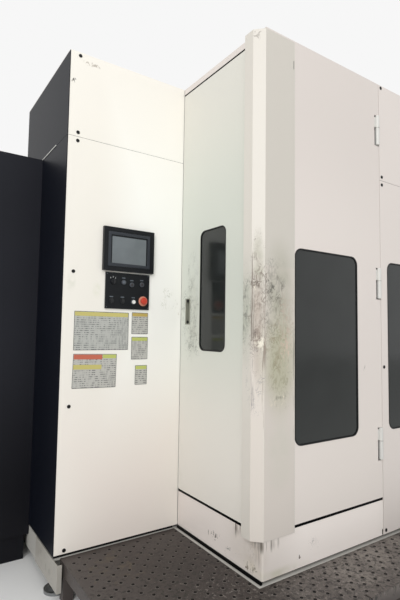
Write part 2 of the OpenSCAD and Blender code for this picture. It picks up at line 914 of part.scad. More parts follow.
module pallets() {
    color("#8d9396") {
        one_pallet(changer_y - changer_reach);
        one_pallet(home_y);
    }
}

// Rails of the table on the bed, and of the column behind it
module linear_rails() {
    color("#b8bcbe") {
        for (side = [-1, 1])
            translate([mid_x + side * z_rail_x - rail_w / 2, z_rail_y0, z_rail_top - rail_t])
                cube([rail_w, column_y - 60 - z_rail_y0, rail_t]);
        for (y = [column_y + 60, column_y + column_d - 60])
            translate([mid_x - 700, y - rail_w / 2, x_rail_top - rail_t])
                cube([1400, rail_w, rail_t]);
    }
}

module z_saddle() {
    color("#5b6266")
        difference() {
            union() {
                block([mid_x - saddle_half, home_y - saddle_half, z_rail_top + play],
                    [mid_x + saddle_half, home_y + saddle_half, saddle_top - 40]);
                translate([mid_x, home_y, saddle_top - 41])
                    cylinder(r = table_r + 10, h = 41 - play);
            }
            translate([mid_x, home_y, saddle_top - 80])
                cylinder(r = 100 + bore_play, h = 90);
        }
}

module rotary_table() {
    color("#7d8386")
        union() {
            translate([mid_x, home_y, saddle_top - 70])
                cylinder(r = 100, h = 80);
            translate([mid_x, home_y, saddle_top])
                cylinder(r = table_r, h = 120);
            translate([mid_x, home_y, saddle_top + 119])
                cylinder(r = neck_r, h = pallet_low_z - saddle_top - 119);
            locating_cones(mid_x, home_y, pallet_low_z);
        }
}

// Portal column with the window that the spindle head runs in
module column() {
    window_x = 175;
    rail_x = 235;
    color("#5b6266")
        difference() {
            union() {
                block([mid_x - column_half, column_y, x_rail_top + play],
                    [mid_x + column_half, column_y + column_d, station_h - 300]);
                for (side = [-1, 1])
                    translate([mid_x + side * rail_x - 20, column_y - 30, spindle_z - 260])
                        cube([40, 30 + eps, head_travel + 550]);
            }
            block([mid_x - window_x, column_y - eps, spindle_z - 200],
                [mid_x + window_x, column_y + column_d + eps, spindle_z + head_travel + 200]);
            // core holes that lighten the sides
            for (side = [-1, 1])
                for (k = [0 : 2])
                    translate([mid_x + side * 300 - 60, column_y + 110, x_rail_top + 160 + k * 550])
                        cube([120, column_d - 220, 380]);
        }
}

module spindle_head() {
    color("#6a7074")
        difference() {
            union() {
                rod_y(mid_x, spindle_z, nose_r, nose_y + 12, nose_y + 132);
                rod_y(mid_x, spindle_z, 115, nose_y + 131, head_plate_y + eps);
                block([mid_x - 290, head_plate_y, spindle_z - 250], [mid_x + 290, column_y - 30 - play, spindle_z + 250]);
                rod_y(mid_x, spindle_z, 130, column_y - 31, column_y + 380);
            }
            rod_y(mid_x, spindle_z, spindle_r + bore_play, nose_y, column_y + 280);
        }
}

// Spindle with its nose ring and taper socket
module spindle() {
    color("#c5c9cb")
        difference() {
            union() {
                rod_y(mid_x, spindle_z, spindle_r, nose_y + 11, column_y + 270);
                rod_y(mid_x, spindle_z, spindle_r + 15, nose_y, nose_y + 12 - play);
            }
            translate([mid_x, nose_y + cone_t, spindle_z])
                rotate([90, 0, 0])
                    cylinder(r1 = 13, r2 = 22.5, h = cone_t + 0.01);
            rod_y(mid_x, spindle_z, 9, nose_y + cone_t - eps, nose_y + cone_t + 80);
        }
}

// A tool pot with its collar, and the taper that is cut into it
module pot(x, z) {
    rod_y(x, z, pot_r, nose_y, nose_y + pot_l);
    rod_y(x, z, pot_r + 5, nose_y, nose_y + 11);
}
module pot_taper(x, z) {
    over = 3;
    translate([x, nose_y + cone_t + over, z])
        rotate([90, 0, 0])
            cylinder(r1 = 13, r2 = 22.5 + over * 9.5 / cone_t, h = cone_t + over + 0.01);
}

// Drum disc with its tool pots, the ring gear on its back and its shaft
module tool_drum() {
    disc_y = nose_y + 10;
    color("#70767a")
        difference() {
            union() {
                rod_y(drum_x, drum_z, drum_r + 12, disc_y, disc_y + 25);
                for (k = [0 : drum_tools - 1])
                    let (a = k * 360 / drum_tools)
                        pot(drum_x + drum_r * cos(a), drum_z + drum_r * sin(a));
                rod_y(drum_x, drum_z, 40, disc_y, mag_back - 26);
                translate([drum_x, disc_y + 45, drum_z])
                    rotate([90, 0, 0])
                        linear_extrude(21)
                            polygon(gear_points(drum_teeth, gear_module, 0));
            }
            for (k = [0 : drum_tools - 1])
                let (a = k * 360 / drum_tools)
                    pot_taper(drum_x + drum_r * cos(a), drum_z + drum_r * sin(a));
            for (k = [0 : 5])
                let (a = k * 60 + 30)
                    rod_y(drum_x + 162 * cos(a), drum_z + 162 * sin(a), 26, disc_y - eps, disc_y + 26);
        }
}

// Half outline of a tool in its holder: taper, flange with its groove, neck, nut and cutter
function holder_outline(len, r) =
    [[0, 0], [12.6, 0], [22, cone_t], [22, cone_t + 2], [31.5, cone_t + 2], [31.5, cone_t + 7],
        [28, cone_t + 10], [28, cone_t + 13], [31.5, cone_t + 16], [31.5, cone_t + 20],
        [grip_r, cone_t + 20], [grip_r, cone_t + 48], [30, cone_t + 50], [30, cone_t + 92],
        [r + 8, cone_t + 100], [r, cone_t + 100], [r, cone_t + 100 + len], [0, cone_t + 100 + len]];

module tool_holders() {
    color("#b4b8ba")
        for (k = [0 : drum_tools - 1])
            let (a = k * 360 / drum_tools)
                translate([drum_x + drum_r * cos(a), nose_y + cone_t, drum_z + drum_r * sin(a)])
                    rotate([90, 0, 0])
                        rotate_extrude()
                            polygon(holder_outline(60 + 25 * (k % 5), 4 + 3 * (k % 4)));
}

module drum_pinion() {
    half_pitch = 180 / pinion_teeth;
    color("#9a9ea0")
        union() {
            translate([drum_x, nose_y + 54, pinion_z])
                rotate([90, 0, 0])
                    linear_extrude(18)
                        polygon(gear_points(pinion_teeth, gear_module, 90 - half_pitch));
            rod_y(drum_x, pinion_z, 12, nose_y + 37, mag_back + 30);
        }
}

module drum_motor() {
    color("#3b3f44")
        difference() {
            union() {
                block([drum_x - 80, mag_back, pinion_z - 80], [drum_x + 80, mag_back + 15, pinion_z + 80]);
                block([drum_x - 60, mag_back + 14, pinion_z - 60], [drum_x + 60, mag_back + 120, pinion_z + 60]);
                rod_y(drum_x, pinion_z, 52, mag_back + 119, mag_back + 230);
            }
            rod_y(drum_x, pinion_z, 12 + bore_play, mag_back - eps, mag_back + 40);
        }
}

// Gearbox of the tool changer on the inner wall, with the pot where a tool waits for the arm
module atc_gearbox() {
    y0 = nose_y + 40;
    color("#50565a")
        difference() {
            union() {
                block([arm_x - 100, y0, drum_z - 100], [arm_x + 100, y0 + 190, drum_z + 100]);
                block([sheet, y0 + 72, drum_z - 70], [arm_x - 99, y0 + 182, drum_z + 70]);
                block([waiting_x, y0, drum_z - 24], [arm_x - 99, y0 + 40, drum_z + 24]);
                pot(waiting_x, drum_z);
            }
            pot_taper(waiting_x, drum_z);
            rod_y(arm_x, drum_z, 30 + bore_play, y0 - eps, y0 + 170);
        }
}

module atc_shaft() {
    color("#c5c9cb")
        union() {
            rod_y(arm_x, drum_z, 30, grip_y + grip_t + 6, nose_y + 200);
            rod_y(arm_x, drum_z, 20, grip_y - 12, grip_y + grip_t + 7);
            rod_y(arm_x, drum_z, 34, grip_y - 16, grip_y - 6 - play);
        }
}

// Double-ended tool change arm, parked upright, with an open jaw at each end
module atc_arm() {
    jaw_r = 46;
    color("#8d9396")
        translate([arm_x, grip_y, drum_z])
            difference() {
                union() {
                    rod_y(0, 0, 52, -6, grip_t + 6 - play);
                    block([-36, 0, -arm_l], [36, grip_t, arm_l]);
                    for (side = [-1, 1])
                        rod_y(0, side * arm_l, jaw_r, 0, grip_t);
                }
                rod_y(0, 0, 20 + bore_play, -10, grip_t + 10);
                for (side = [-1, 1]) {
                    rod_y(0, side * arm_l, grip_r + 1, -eps, grip_t + eps);
                    translate([side > 0 ? 0 : -jaw_r - eps, -eps, side * arm_l - grip_r - 1])
                        cube([jaw_r + eps, grip_t + 2 * eps, 2 * grip_r + 2]);
                    translate([0, -eps, side * 170])
                        rotate([-90, 0, 0])
                            cylinder(r = 20, h = grip_t + 2 * eps);
                }
            }
}

// Trough in the bed, a rising neck behind the body and the discharge head
module chip_conveyor() {
    z0 = tray_z;
    h = 190;
    y1 = body_d + 30;
    y2 = y_high - 150;
    slope = discharge_z - z0 - h;
    trough_y = z_rail_y0 + 70;
    color("#4b5054")
        translate([mid_x + 145, 0, 0])
            rotate([90, 0, -90])
                linear_extrude(290)
                    polygon([[-trough_y, z0], [-y1 - 40, z0], [-y2, z0 + slope], [-y_high, z0 + slope],
                        [-y_high, discharge_z], [-y2 + 40, discharge_z], [-y1, z0 + h], [-trough_y, z0 + h]]);
}

module coolant_tank() {
    z0 = -base_h + 60;
    color("#5e6468")
        union() {
            block([tank_x0, body_d, z0], [tank_x1, y_high - 20, tank_top]);
            block([tank_x0 + 20, body_d + 20, tank_top - eps], [tank_x1 - 20, y_high - 40, tank_top + 12]);
            for (x = [tank_x0 + 30, tank_x1 - 80])
                for (y = [body_d + 50, y_high - 110])
                    translate([x, y, -base_h])
                        cube([50, 50, 62]);
            for (x = [tank_x0 + 180, tank_x1 - 240])
                translate([x, body_d + 300, tank_top + 11]) {
                    cylinder(r = 90, h = 30);
                    cylinder(r = 65, h = 300);
                }
        }
}

// Main operating panel: a stepped housing with a display above and a keyboard below
module cnc_panel() {
    step = 70;
    color("#2a2d33")
        translate([0, cnc_y, cnc_z])
            difference() {
                translate([station_w, cnc_w, 0])
                    rotate([90, 0, 0])
                        linear_extrude(cnc_w)
                            polygon([[0, 0], [cnc_depth - 30, 0], [cnc_depth, 30], [cnc_depth, 300],
                                [cnc_depth - step, 350], [cnc_depth - step, cnc_h], [0, cnc_h]]);
                block([station_w + cnc_depth - step - 8, 70, 400],
                    [station_w + cnc_depth, cnc_w - 70, cnc_h - 40]);
                translate([station_w + cnc_depth - 20, cnc_estop_at[0], cnc_estop_at[1]])
                    rotate([0, 90, 0])
                        cylinder(r = 11 + bore_play, h = 30);
            }
}

module cnc_estop() {
    color("#d2452c")
        translate([station_w + cnc_depth - 8, cnc_y + cnc_estop_at[0], cnc_z + cnc_estop_at[1]])
            rotate([0, 90, 0]) {
                cylinder(r = 11, h = 30);
                translate([0, 0, 24])
                    cylinder(r1 = estop_r - 3, r2 = estop_r, h = 10);
                translate([0, 0, 34])
                    cylinder(r1 = estop_r, r2 = estop_r * 0.7, h = cnc_estop_h + 8 - 34);
            }
}

// Side leg of the setup door, with its window and the cut for the pull
module door_left_panel() {
    w = door_d - seam - fold;
    top = station_h - rail_h - door_gap;
    color("#dcdbd4")
        face_left(0, door_d - seam, door_z)
            difference() {
                folded_panel(w, top - door_z);
                window_cut(door_d - seam - side_window_y - side_window_w, side_window_z - door_z,
                    side_window_w, side_window_h, window_r - 7);
                translate([door_d - seam - pull_y - pull_w, pull_z - door_z, -fold])
                    cube([pull_w, pull_h, fold + eps]);
            }
}

// Front leg of the setup door, notched round its hinges
module door_right_panel() {
    color("#dfd7d0")
        difference() {
            face_front(corner_x, 0, door_z)
                difference() {
                    folded_panel(door_w - seam - corner_x, station_h - door_z);
                    window_cut(front_window_x - corner_x, window_z - door_z, window_w, window_h, window_r);
                }
            for (z = hinge_zs)
                block([notch_x, -eps, z - barrel_l / 2 - 6], [door_w, fold + eps, z + barrel_l / 2 + 6]);
        }
}

// Bent cover over the corner between the two legs of the door
module corner_cover() {
    t = sheet;
    p = cover_proud;
    c = cover_leg;
    k = t * (sqrt(2) - 1);
    color("#f7f6ee")
        translate([0, 0, cover_bottom])
            linear_extrude(cover_top - cover_bottom)
                polygon([[0, cover_side], [-p, cover_side], [-p, c - t], [c - p, -t], [cover_front, -t],
                    [cover_front, 0], [c - p + k, 0], [t - p, c - t + k], [t - p, cover_side - t],
                    [0, cover_side - t]]);
}

module door_windows() {
    color("#3a3f40", 0.8) {
        face_front(0, 0, 0)
            window_pane(front_window_x, window_z, window_w, window_h);
        face_left(0, side_window_y + side_window_w, side_window_z)
            window_pane(0, 0, side_window_w, side_window_h);
    }
}

// Pressed cup behind the side leg's cut, with a lip that grips the sheet
module door_pull() {
    lip = 1.5;
    color("#8a8a86")
        face_left(0, pull_y + pull_w, pull_z)
            difference() {
                union() {
                    translate([0, 0, -pull_depth])
                        cube([pull_w, pull_h, pull_depth]);
                    translate([-4, -4, 0])
                        cube([pull_w + 8, pull_h + 8, lip]);
                }
                translate([2, 2, -pull_depth + 2])
                    cube([pull_w - 4, pull_h - 4, pull_depth + lip]);
            }
}

// Sliding door of the machining area with its grip
module operator_door() {
    w = opening_y1 - opening_y0 + 2 * slider_lap;
    h = opening_z1 - opening_z0 + 60;
    color("#dcd8d0")
        face_right(slider_x + fold, opening_y0 - slider_lap, opening_z0 - 30) {
            difference() {
                folded_panel(w, h);
                window_cut(200, 350, w - 400, 800, 50);
            }
            for (z = [grip_z0, grip_z0 + grip_l - 20])
                translate([60, z, 0])
                    cube([20, 20, 50]);
            translate([60, grip_z0, 45])
                cube([20, grip_l, 20]);
        }
}

module operator_window() {
    w = opening_y1 - opening_y0 + 2 * slider_lap;
    color("#3a3f40", 0.8)
        face_right(slider_x + fold, opening_y0 - slider_lap, opening_z0 - 30)
            translate([200 - lap, 350 - lap, -sheet - pane])
                linear_extrude(pane)
                    rounded(w - 400 + 2 * lap, 800 + 2 * lap, 50 + lap);
}

module cabinet_door() {
    y1 = cab_front + cab_w;
    color("#23262f")
        difference() {
            union() {
                face_left(cab_left, y1, cabinet_z)
                    folded_panel(cab_w, cab_top - cabinet_z);
                door_knuckles(cab_left, y1, cabinet_knuckles);
            }
            knuckle_room(cab_left, y1, cabinet_knuckles);
            translate([cab_left - eps, switch_y, switch_z])
                rotate([0, 90, 0])
                    cylinder(r = switch_r + bore_play, h = 20);
        }
}

module main_switch() {
    color("#2e3237")
        translate([cab_left, switch_y, switch_z])
            rotate([0, -90, 0]) {
                translate([0, 0, -12])
                    cylinder(r = switch_r, h = 20);
                translate([0, 0, play])
                    cylinder(r = 32, h = 12);
                translate([-28, -7, 11])
                    cube([56, 14, switch_proud - 11]);
            }
}

module tool_door() {
    z0 = 0.5;
    color("#23262f")
        difference() {
            union() {
                face_left(-mag_w, tool_door_y, z0)
                    folded_panel(tool_door_y - side_back - 3, mag_seam_z - z0 + 0.5);
                door_knuckles(-mag_w, tool_door_y, magazine_knuckles);
            }
            knuckle_room(-mag_w, tool_door_y, magazine_knuckles);
        }
}

on_floor() bed();
on_floor() base_tray();
on_floor() levelling_feet();
on_floor() step_platform();
on_floor() skirt_bracket();
on_floor() kick_plate();
on_floor() hinge_post();
on_floor() hinge_pins();
on_floor() roof_panels();
on_floor() front_panel_lower();
on_floor() front_panel_upper();
on_floor() front_window();
on_floor() outer_panels();
on_floor() inner_walls();
on_floor() magazine_panel_lower();
on_floor() magazine_panel_upper();
on_floor() magazine_side_lower();
on_floor() magazine_side_upper();
on_floor() magazine_rear();
on_floor() control_cabinet();
on_floor() hmi_display();
on_floor() button_panel();
on_floor() changer_base();
on_floor() linear_rails();
on_floor() drum_motor();
on_floor() atc_gearbox();
on_floor() chip_conveyor();
on_floor() coolant_tank();
on_floor() cnc_panel();
on_floor() door_left_panel();
on_floor() door_right_panel();
on_floor() corner_cover();
on_floor() door_windows();
on_floor() door_pull();
on_floor() door_hinges();
on_floor() lift_ram();
on_floor() changer_arm();
on_floor() divider();
on_floor() pallets();
on_floor() z_saddle();
on_floor() rotary_table();
on_floor() column();
on_floor() spindle_head();
on_floor() spindle();
on_floor() tool_drum();
on_floor() tool_holders();
on_floor() drum_pinion();
on_floor() atc_shaft();
on_floor() atc_arm();
on_floor() operator_door();
on_floor() operator_window();
on_floor() cabinet_door();
on_floor() main_switch();
on_floor() tool_door();
on_floor() estop_button();
on_floor() selector_knob();
on_floor() push_white();
on_floor() push_left();
on_floor() push_mid();
on_floor() cnc_estop();
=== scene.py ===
# %% [markdown]
# # A machining center, dressed corner by corner
# The solids of this machine are already built: panels, doors, castings and the mechanism inside.
# This lesson gives them their look. It starts with the camera and the light, goes on to the finishes,
# and then models the small pieces that a panel carries: rubber edges, screws, plates, keys and latches.

import math

import bpy
from mathutils import Matrix, Vector


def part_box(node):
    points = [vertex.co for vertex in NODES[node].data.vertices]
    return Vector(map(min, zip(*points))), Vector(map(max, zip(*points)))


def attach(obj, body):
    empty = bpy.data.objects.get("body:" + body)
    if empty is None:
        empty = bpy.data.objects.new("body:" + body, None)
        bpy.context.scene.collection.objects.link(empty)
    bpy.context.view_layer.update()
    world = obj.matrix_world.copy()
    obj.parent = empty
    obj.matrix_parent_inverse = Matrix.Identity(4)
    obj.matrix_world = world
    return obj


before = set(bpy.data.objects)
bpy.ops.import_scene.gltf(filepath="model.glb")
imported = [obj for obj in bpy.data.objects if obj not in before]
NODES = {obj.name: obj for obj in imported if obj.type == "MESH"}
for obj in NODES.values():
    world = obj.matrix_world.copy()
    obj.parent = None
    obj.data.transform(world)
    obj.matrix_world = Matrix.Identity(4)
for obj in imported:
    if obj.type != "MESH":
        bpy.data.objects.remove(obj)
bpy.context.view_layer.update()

# %% [markdown]
# ## One measure for everything
# All the sizes below are read off the machine in millimetres, from the corner where the front, the left
# side and the bottom edge of the enclosure meet. The helper turns such a place into the frame's metres,
# so that a piece sits on its panel wherever the frame has its origin.

# %% Places in millimetres from the enclosure's corner
MM = 0.001
CORNER = Vector((
    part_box("door_left_panel")[0][0],
    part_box("front_panel_lower")[0][1],
    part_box("front_panel_lower")[0][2],
))


def at(x, y, z):
    """The place that lies x right, y back and z up from the enclosure's corner."""
    return CORNER + Vector((x, y, z)) * MM


def low(node):
    """Lowest corner of a solid, in millimetres from the enclosure's corner."""
    return (Vector(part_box(node)[0]) - CORNER) / MM


def high(node):
    """Highest corner of a solid, in millimetres from the enclosure's corner."""
    return (Vector(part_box(node)[1]) - CORNER) / MM


def middle(node):
    """The middle of a solid's box."""
    return (low(node) + high(node)) / 2


DOOR_W = 902
MAGAZINE_Y = low("magazine_panel_lower").y
MAGAZINE_X = low("magazine_side_lower").x
RIGHT_X = high("outer_panels").x
REAR_Y = high("outer_panels").y
TOP_Z = high("roof_panels").z
print("enclosure's top at", round(TOP_Z), "mm")

# %% [markdown]
# ## The camera
# The camera stands in front of the corner, to its left, a little over a metre up. Its place, its turn
# and its lens were worked out from the enclosure's straight edges. The frame is upright, three high to
# two wide, so the lens is given for the long side. The three axes are built by hand, because that keeps
# the small roll of a picture taken without a stand.

# %% Camera
EYE = at(-1434.8, -1587.4, 1117.0)
YAW = math.radians(34.131)
PITCH = math.radians(3.903)
ROLL = math.radians(0.847)
LENS = 27.36
LONG_SIDE = 36

forward = Vector((math.sin(YAW) * math.cos(PITCH), math.cos(YAW) * math.cos(PITCH), math.sin(PITCH)))
level = Vector((math.cos(YAW), -math.sin(YAW), 0))
upright = level.cross(forward)
right = math.cos(ROLL) * level + math.sin(ROLL) * upright
up = -math.sin(ROLL) * level + math.cos(ROLL) * upright
camera_data = bpy.data.cameras.new("camera")
camera_data.sensor_fit = "VERTICAL"
camera_data.sensor_height = LONG_SIDE
camera_data.lens = LENS
camera = bpy.data.objects.new("camera", camera_data)
bpy.context.scene.collection.objects.link(camera)
turn = Matrix((right, up, -forward)).transposed().to_4x4()
camera.matrix_world = Matrix.Translation(EYE) @ turn
bpy.context.scene.camera = camera
print("camera height:", round(EYE.z, 3), "m")

# %% [markdown]
# ## A short hand for shader nodes
# A shader is a tree of small sums. These helpers add one node each and give back the socket with its
# result, so that a pattern reads like a formula. A value may be a number or another node's socket.

# %% Helpers that add nodes


def socket(tree, value, target):
    """Links another node's output to a socket, or sets the socket's own value."""
    if isinstance(value, bpy.types.NodeSocket):
        tree.links.new(value, target)
    else:
        target.default_value = value


def node(tree, kind, values=None, **settings):
    """Adds a node, with its settings and its inputs by name or number."""
    made = tree.nodes.new(kind)
    for key, value in settings.items():
        setattr(made, key, value)
    for key, value in (values or {}).items():
        socket(tree, value, made.inputs[key])
    return made


def maths(tree, operation, *values):
    return node(tree, "ShaderNodeMath", dict(enumerate(values)), operation=operation).outputs[0]


def vectors(tree, operation, *values):
    made = node(tree, "ShaderNodeVectorMath", dict(enumerate(values)), operation=operation)
    return made.outputs["Value" if operation == "LENGTH" else "Vector"]


def remap(tree, value, from_min=0.0, from_max=1.0, to_min=0.0, to_max=1.0, **settings):
    """Moves a value from one range to another and holds it there."""
    return node(tree, "ShaderNodeMapRange", {
        "Value": value, "From Min": from_min, "From Max": from_max, "To Min": to_min, "To Max": to_max},
        **settings).outputs[0]


def noise(tree, place, scale, detail, **values):
    return node(tree, "ShaderNodeTexNoise", {
        "Vector": place, "Scale": scale, "Detail": detail, **values}).outputs["Fac"]


def object_place(tree):
    return node(tree, "ShaderNodeTexCoord").outputs["Object"]


def split(tree, vector):
    return node(tree, "ShaderNodeSeparateXYZ", {0: vector}).outputs


def shaded(tree, colour, value):
    """The same colour, darker or lighter."""
    return node(tree, "ShaderNodeHueSaturation", {"Value": value, "Color": colour}).outputs[0]


def blend_colours(tree, factor, first, second):
    return node(tree, "ShaderNodeMix", {0: factor, 6: first, 7: second}, data_type="RGBA").outputs[2]


FINISHES = {}


def new_material(name, values):
    """A material with its shader's plain values set, kept by its name."""
    made = bpy.data.materials.new(name)
    made.use_nodes = True
    shader = made.node_tree.nodes["Principled BSDF"].inputs
    for key, value in values.items():
        shader[key].default_value = value
    FINISHES[name] = made
    return made.node_tree, shader


# %% [markdown]
# ## Floor and light
# A pale floor and a pale surround keep the eye on the machine. The world lights all sides softly, and
# two large lamps give the sides their difference: one high at the front left, one overhead. The surround
# shows to the camera and in reflections as plain near-white, but lights the machine at its own level.

# %% Floor, world and lamps
WORLD_LIGHT = 0.64
SURROUND = 0.93


def clear():
    bpy.ops.object.select_all(action="DESELECT")


clear()
bpy.ops.mesh.primitive_plane_add(size=40, location=(0, 0, 0))
floor = bpy.context.object
floor.name = "floor"
new_material("floor", {"Base Color": (0.82, 0.82, 0.81, 1), "Roughness": 0.9})
floor.data.materials.append(FINISHES["floor"])

world = bpy.data.worlds.new("surround")
bpy.context.scene.world = world
world.use_nodes = True
sky = world.node_tree
ray = node(sky, "ShaderNodeLightPath").outputs
seen = maths(sky, "MAXIMUM", ray["Is Camera Ray"], ray["Is Glossy Ray"])
seen = maths(sky, "MAXIMUM", seen, ray["Is Transmission Ray"])
background = sky.nodes["Background"].inputs
socket(sky, remap(sky, seen, to_min=WORLD_LIGHT, to_max=SURROUND), background["Strength"])
socket(sky, (1, 1, 1, 1), background["Color"])


def lamp(name, place, aim, size, power):
    """A square lamp that shines from one place towards another."""
    data = bpy.data.lights.new(name, "AREA")
    data.size = size
    data.energy = power
    obj = bpy.data.objects.new(name, data)
    bpy.context.scene.collection.objects.link(obj)
    obj.matrix_world = Matrix.Translation(place) @ (aim - place).to_track_quat("-Z", "Y").to_matrix().to_4x4()


lamp("corner_lamp", Vector((-7.0, -7.6, 5.2)), Vector((-0.5, -1.4, 1.7)), 5.0, 400)
lamp("top_lamp", Vector((-1.2, -4.5, 7.0)), Vector((-0.6, -1.6, 1.2)), 4.0, 70)
bpy.context.scene.view_settings.view_transform = "Standard"
print("world light:", WORLD_LIGHT)

# %% [markdown]
# ## Finishes as node groups
# Powder coat is never one flat colour: it has a faint peel, and its tone drifts a little over a big
# panel. Hand dirt, drips and scratches lie over it. Each of these effects is built once as a node group
# with named inputs, and every finish below places the ones it needs. All patterns read Object
# coordinates, which here are the frame's own metres, so a stain stays where the hand touched the panel.

# %% The groups of bare surfaces
FLOAT = "NodeSocketFloat"
COLOUR = "NodeSocketColor"
VECTOR = "NodeSocketVector"
WHITE = (1, 1, 1, 1)
SURFACE = [("Colour", COLOUR), ("Roughness", FLOAT), ("Height", FLOAT)]


def srgb(colour):
    """A colour as a screen gives it, from 0 to 255, made linear."""
    channels = [c / 255 for c in colour]
    return tuple(c / 12.92 if c <= 0.04045 else ((c + 0.055) / 1.055) ** 2.4 for c in channels) + (1,)


def new_group(name, inputs, outputs):
    """An empty shader group with its sockets."""
    tree = bpy.data.node_groups.new(name, "ShaderNodeTree")
    for label, kind, value in inputs:
        tree.interface.new_socket(label, in_out="INPUT", socket_type=kind).default_value = value
    for label, kind in outputs:
        tree.interface.new_socket(label, in_out="OUTPUT", socket_type=kind)
    return tree, tree.nodes.new("NodeGroupInput").outputs, tree.nodes.new("NodeGroupOutput").inputs


def make_coat():
    """Slow drift of tone, and the fine peel of a sprayed coat."""
    tree, given, out = new_group(
        "coat", [("Colour", COLOUR, WHITE), ("Drift", FLOAT, 0.05), ("Peel", FLOAT, 220.0)], SURFACE)
    place = object_place(tree)
    tone_here = remap(tree, noise(tree, place, 1.3, 3.0), 0.3, 0.7)
    shade = maths(tree, "MULTIPLY", tone_here, given["Drift"])
    peel = noise(tree, place, given["Peel"], 2.0)
    darker = shaded(tree, given["Colour"], 0.6)
    socket(tree, blend_colours(tree, shade, given["Colour"], darker), out["Colour"])
    socket(tree, remap(tree, peel, to_min=0.34, to_max=0.52), out["Roughness"])
    socket(tree, peel, out["Height"])
    return tree


def make_grain():
    """Brushed or ground metal: fine lines along one direction, and a slow change of tone."""
    tree, given, out = new_group(
        "grain", [("Colour", COLOUR, WHITE), ("Stretch", VECTOR, (1, 1, 1)), ("Depth", FLOAT, 0.2)], SURFACE)
    drawn = vectors(tree, "MULTIPLY", object_place(tree), given["Stretch"])
    lines = noise(tree, drawn, 30.0, 5.0)
    amount = maths(tree, "MULTIPLY", lines, given["Depth"])
    darker = shaded(tree, given["Colour"], 0.55)
    socket(tree, blend_colours(tree, amount, given["Colour"], darker), out["Colour"])
    socket(tree, remap(tree, lines, to_min=0.26, to_max=0.5), out["Roughness"])
    socket(tree, lines, out["Height"])
    return tree


# %% [markdown]
# ### Stains
# All stains take the same inputs: the patch's centre and reach, a grain size, a density and a softness.
# Each function below draws the mask of one kind, and a last one wraps it into its group. A smudge and
# a drip are both a noise of which more shows where the density is high and the patch's centre is near.

# %% The groups of stains
STAIN_INPUTS = [("Centre", VECTOR, (0, 0, 0)), ("Reach", VECTOR, (1, 1, 1)), ("Grain", FLOAT, 60.0),
                ("Density", FLOAT, 0.5), ("Softness", FLOAT, 0.2)]
NEAR_LIFT = 0.2
DENSITY_LIFT = 0.26
SHOWN_FROM = 0.83
PATCH_EDGE = 0.12


def from_centre(tree, given, place):
    """A place as seen from the patch's centre, with the reach as its unit."""
    offset = vectors(tree, "SUBTRACT", place, given["Centre"])
    return vectors(tree, "DIVIDE", offset, given["Reach"])


def near_mask(tree, given, place):
    """1 at the patch's centre, falling to 0 at its reach."""
    far = vectors(tree, "LENGTH", from_centre(tree, given, place))
    return remap(tree, far, 0.2, 1.0, 1.0, 0.0, interpolation_type="SMOOTHSTEP")


def grown(tree, given, pattern, near):
    """The share of a pattern that shows, which ends where its patch ends."""
    rise = maths(tree, "MULTIPLY_ADD", near, NEAR_LIFT, pattern)
    total = maths(tree, "MULTIPLY_ADD", given["Density"], DENSITY_LIFT, rise)
    top = maths(tree, "ADD", given["Softness"], SHOWN_FROM)
    edge = remap(tree, near, 0.0, PATCH_EDGE)
    return maths(tree, "MULTIPLY", remap(tree, total, SHOWN_FROM, top), edge)


def smudge(tree, given, place):
    """A patch of grains, drawn out upwards."""
    rubbed = vectors(tree, "MULTIPLY", place, (1, 1, 0.55))
    grains = noise(tree, rubbed, given["Grain"], 5.0, Roughness=0.62, Distortion=0.7)
    return grown(tree, given, grains, near_mask(tree, given, place))


def drips(tree, given, place):
    """Runs of dirty water: thin upright lines that fade on their way down."""
    narrow = vectors(tree, "MULTIPLY", place, (1, 1, 0.05))
    lines = noise(tree, narrow, given["Grain"], 3.0)
    return grown(tree, given, lines, near_mask(tree, given, place))


def film(tree, given, place):
    """A soft film of dirt with an uneven edge."""
    slow = noise(tree, place, given["Grain"], 4.0)
    uneven = remap(tree, slow, 0.36, 0.62, given["Density"])
    return maths(tree, "MULTIPLY", near_mask(tree, given, place), uneven)


def tone(tree, given, place):
    """A plain change of tone over a cuboid, with an edge as soft as asked."""
    away = split(tree, vectors(tree, "ABSOLUTE", from_centre(tree, given, place)))
    widest = maths(tree, "MAXIMUM", maths(tree, "MAXIMUM", away["X"], away["Y"]), away["Z"])
    start = maths(tree, "SUBTRACT", 1.0, given["Softness"])
    return remap(tree, widest, start, 1.0, 1.0, 0.0, interpolation_type="SMOOTHSTEP")


def scuffs(tree, given, place):
    """Short curled scratches: the places where a twisted noise crosses its middle value."""
    flat = vectors(tree, "MULTIPLY", place, (1, 1, 0.6))
    curls = noise(tree, flat, given["Grain"], 2.0, Distortion=1.4)
    away = maths(tree, "ABSOLUTE", maths(tree, "SUBTRACT", curls, 0.5))
    wide = maths(tree, "MULTIPLY", given["Softness"], near_mask(tree, given, place))
    line = remap(tree, away, 0.0, wide, 1.0, 0.0)
    broken = noise(tree, place, maths(tree, "MULTIPLY", given["Grain"], 0.4), 1.0)
    gate = remap(tree, broken, maths(tree, "SUBTRACT", 0.66, given["Density"]), 0.7)
    return maths(tree, "MULTIPLY", line, gate)


def stain_group(draw):
    """The group of one kind of stain, named after the function that draws its mask."""
    tree, given, out = new_group(draw.__name__, STAIN_INPUTS, [("Mask", FLOAT)])
    socket(tree, draw(tree, given, object_place(tree)), out["Mask"])
    return tree


COAT = make_coat()
GRAIN = make_grain()
SMUDGE, FILM, TONE, SCUFFS, DRIPS = [stain_group(draw) for draw in (smudge, film, tone, scuffs, drips)]
print("groups:", [tree.name for tree in bpy.data.node_groups])

# %% [markdown]
# ## Finishes
# A finish starts from its coat and lays its stains over it, one by one. The shader stays in the
# material, and values that are the same all over are set on it directly. A stain has a kind, a centre
# and a reach in millimetres, a grain size, a density, a softness, a colour and a strength.

# %% Helpers that build a finish
COAT_DEPTH = 0.001
GRAIN_DEPTH = 0.0005


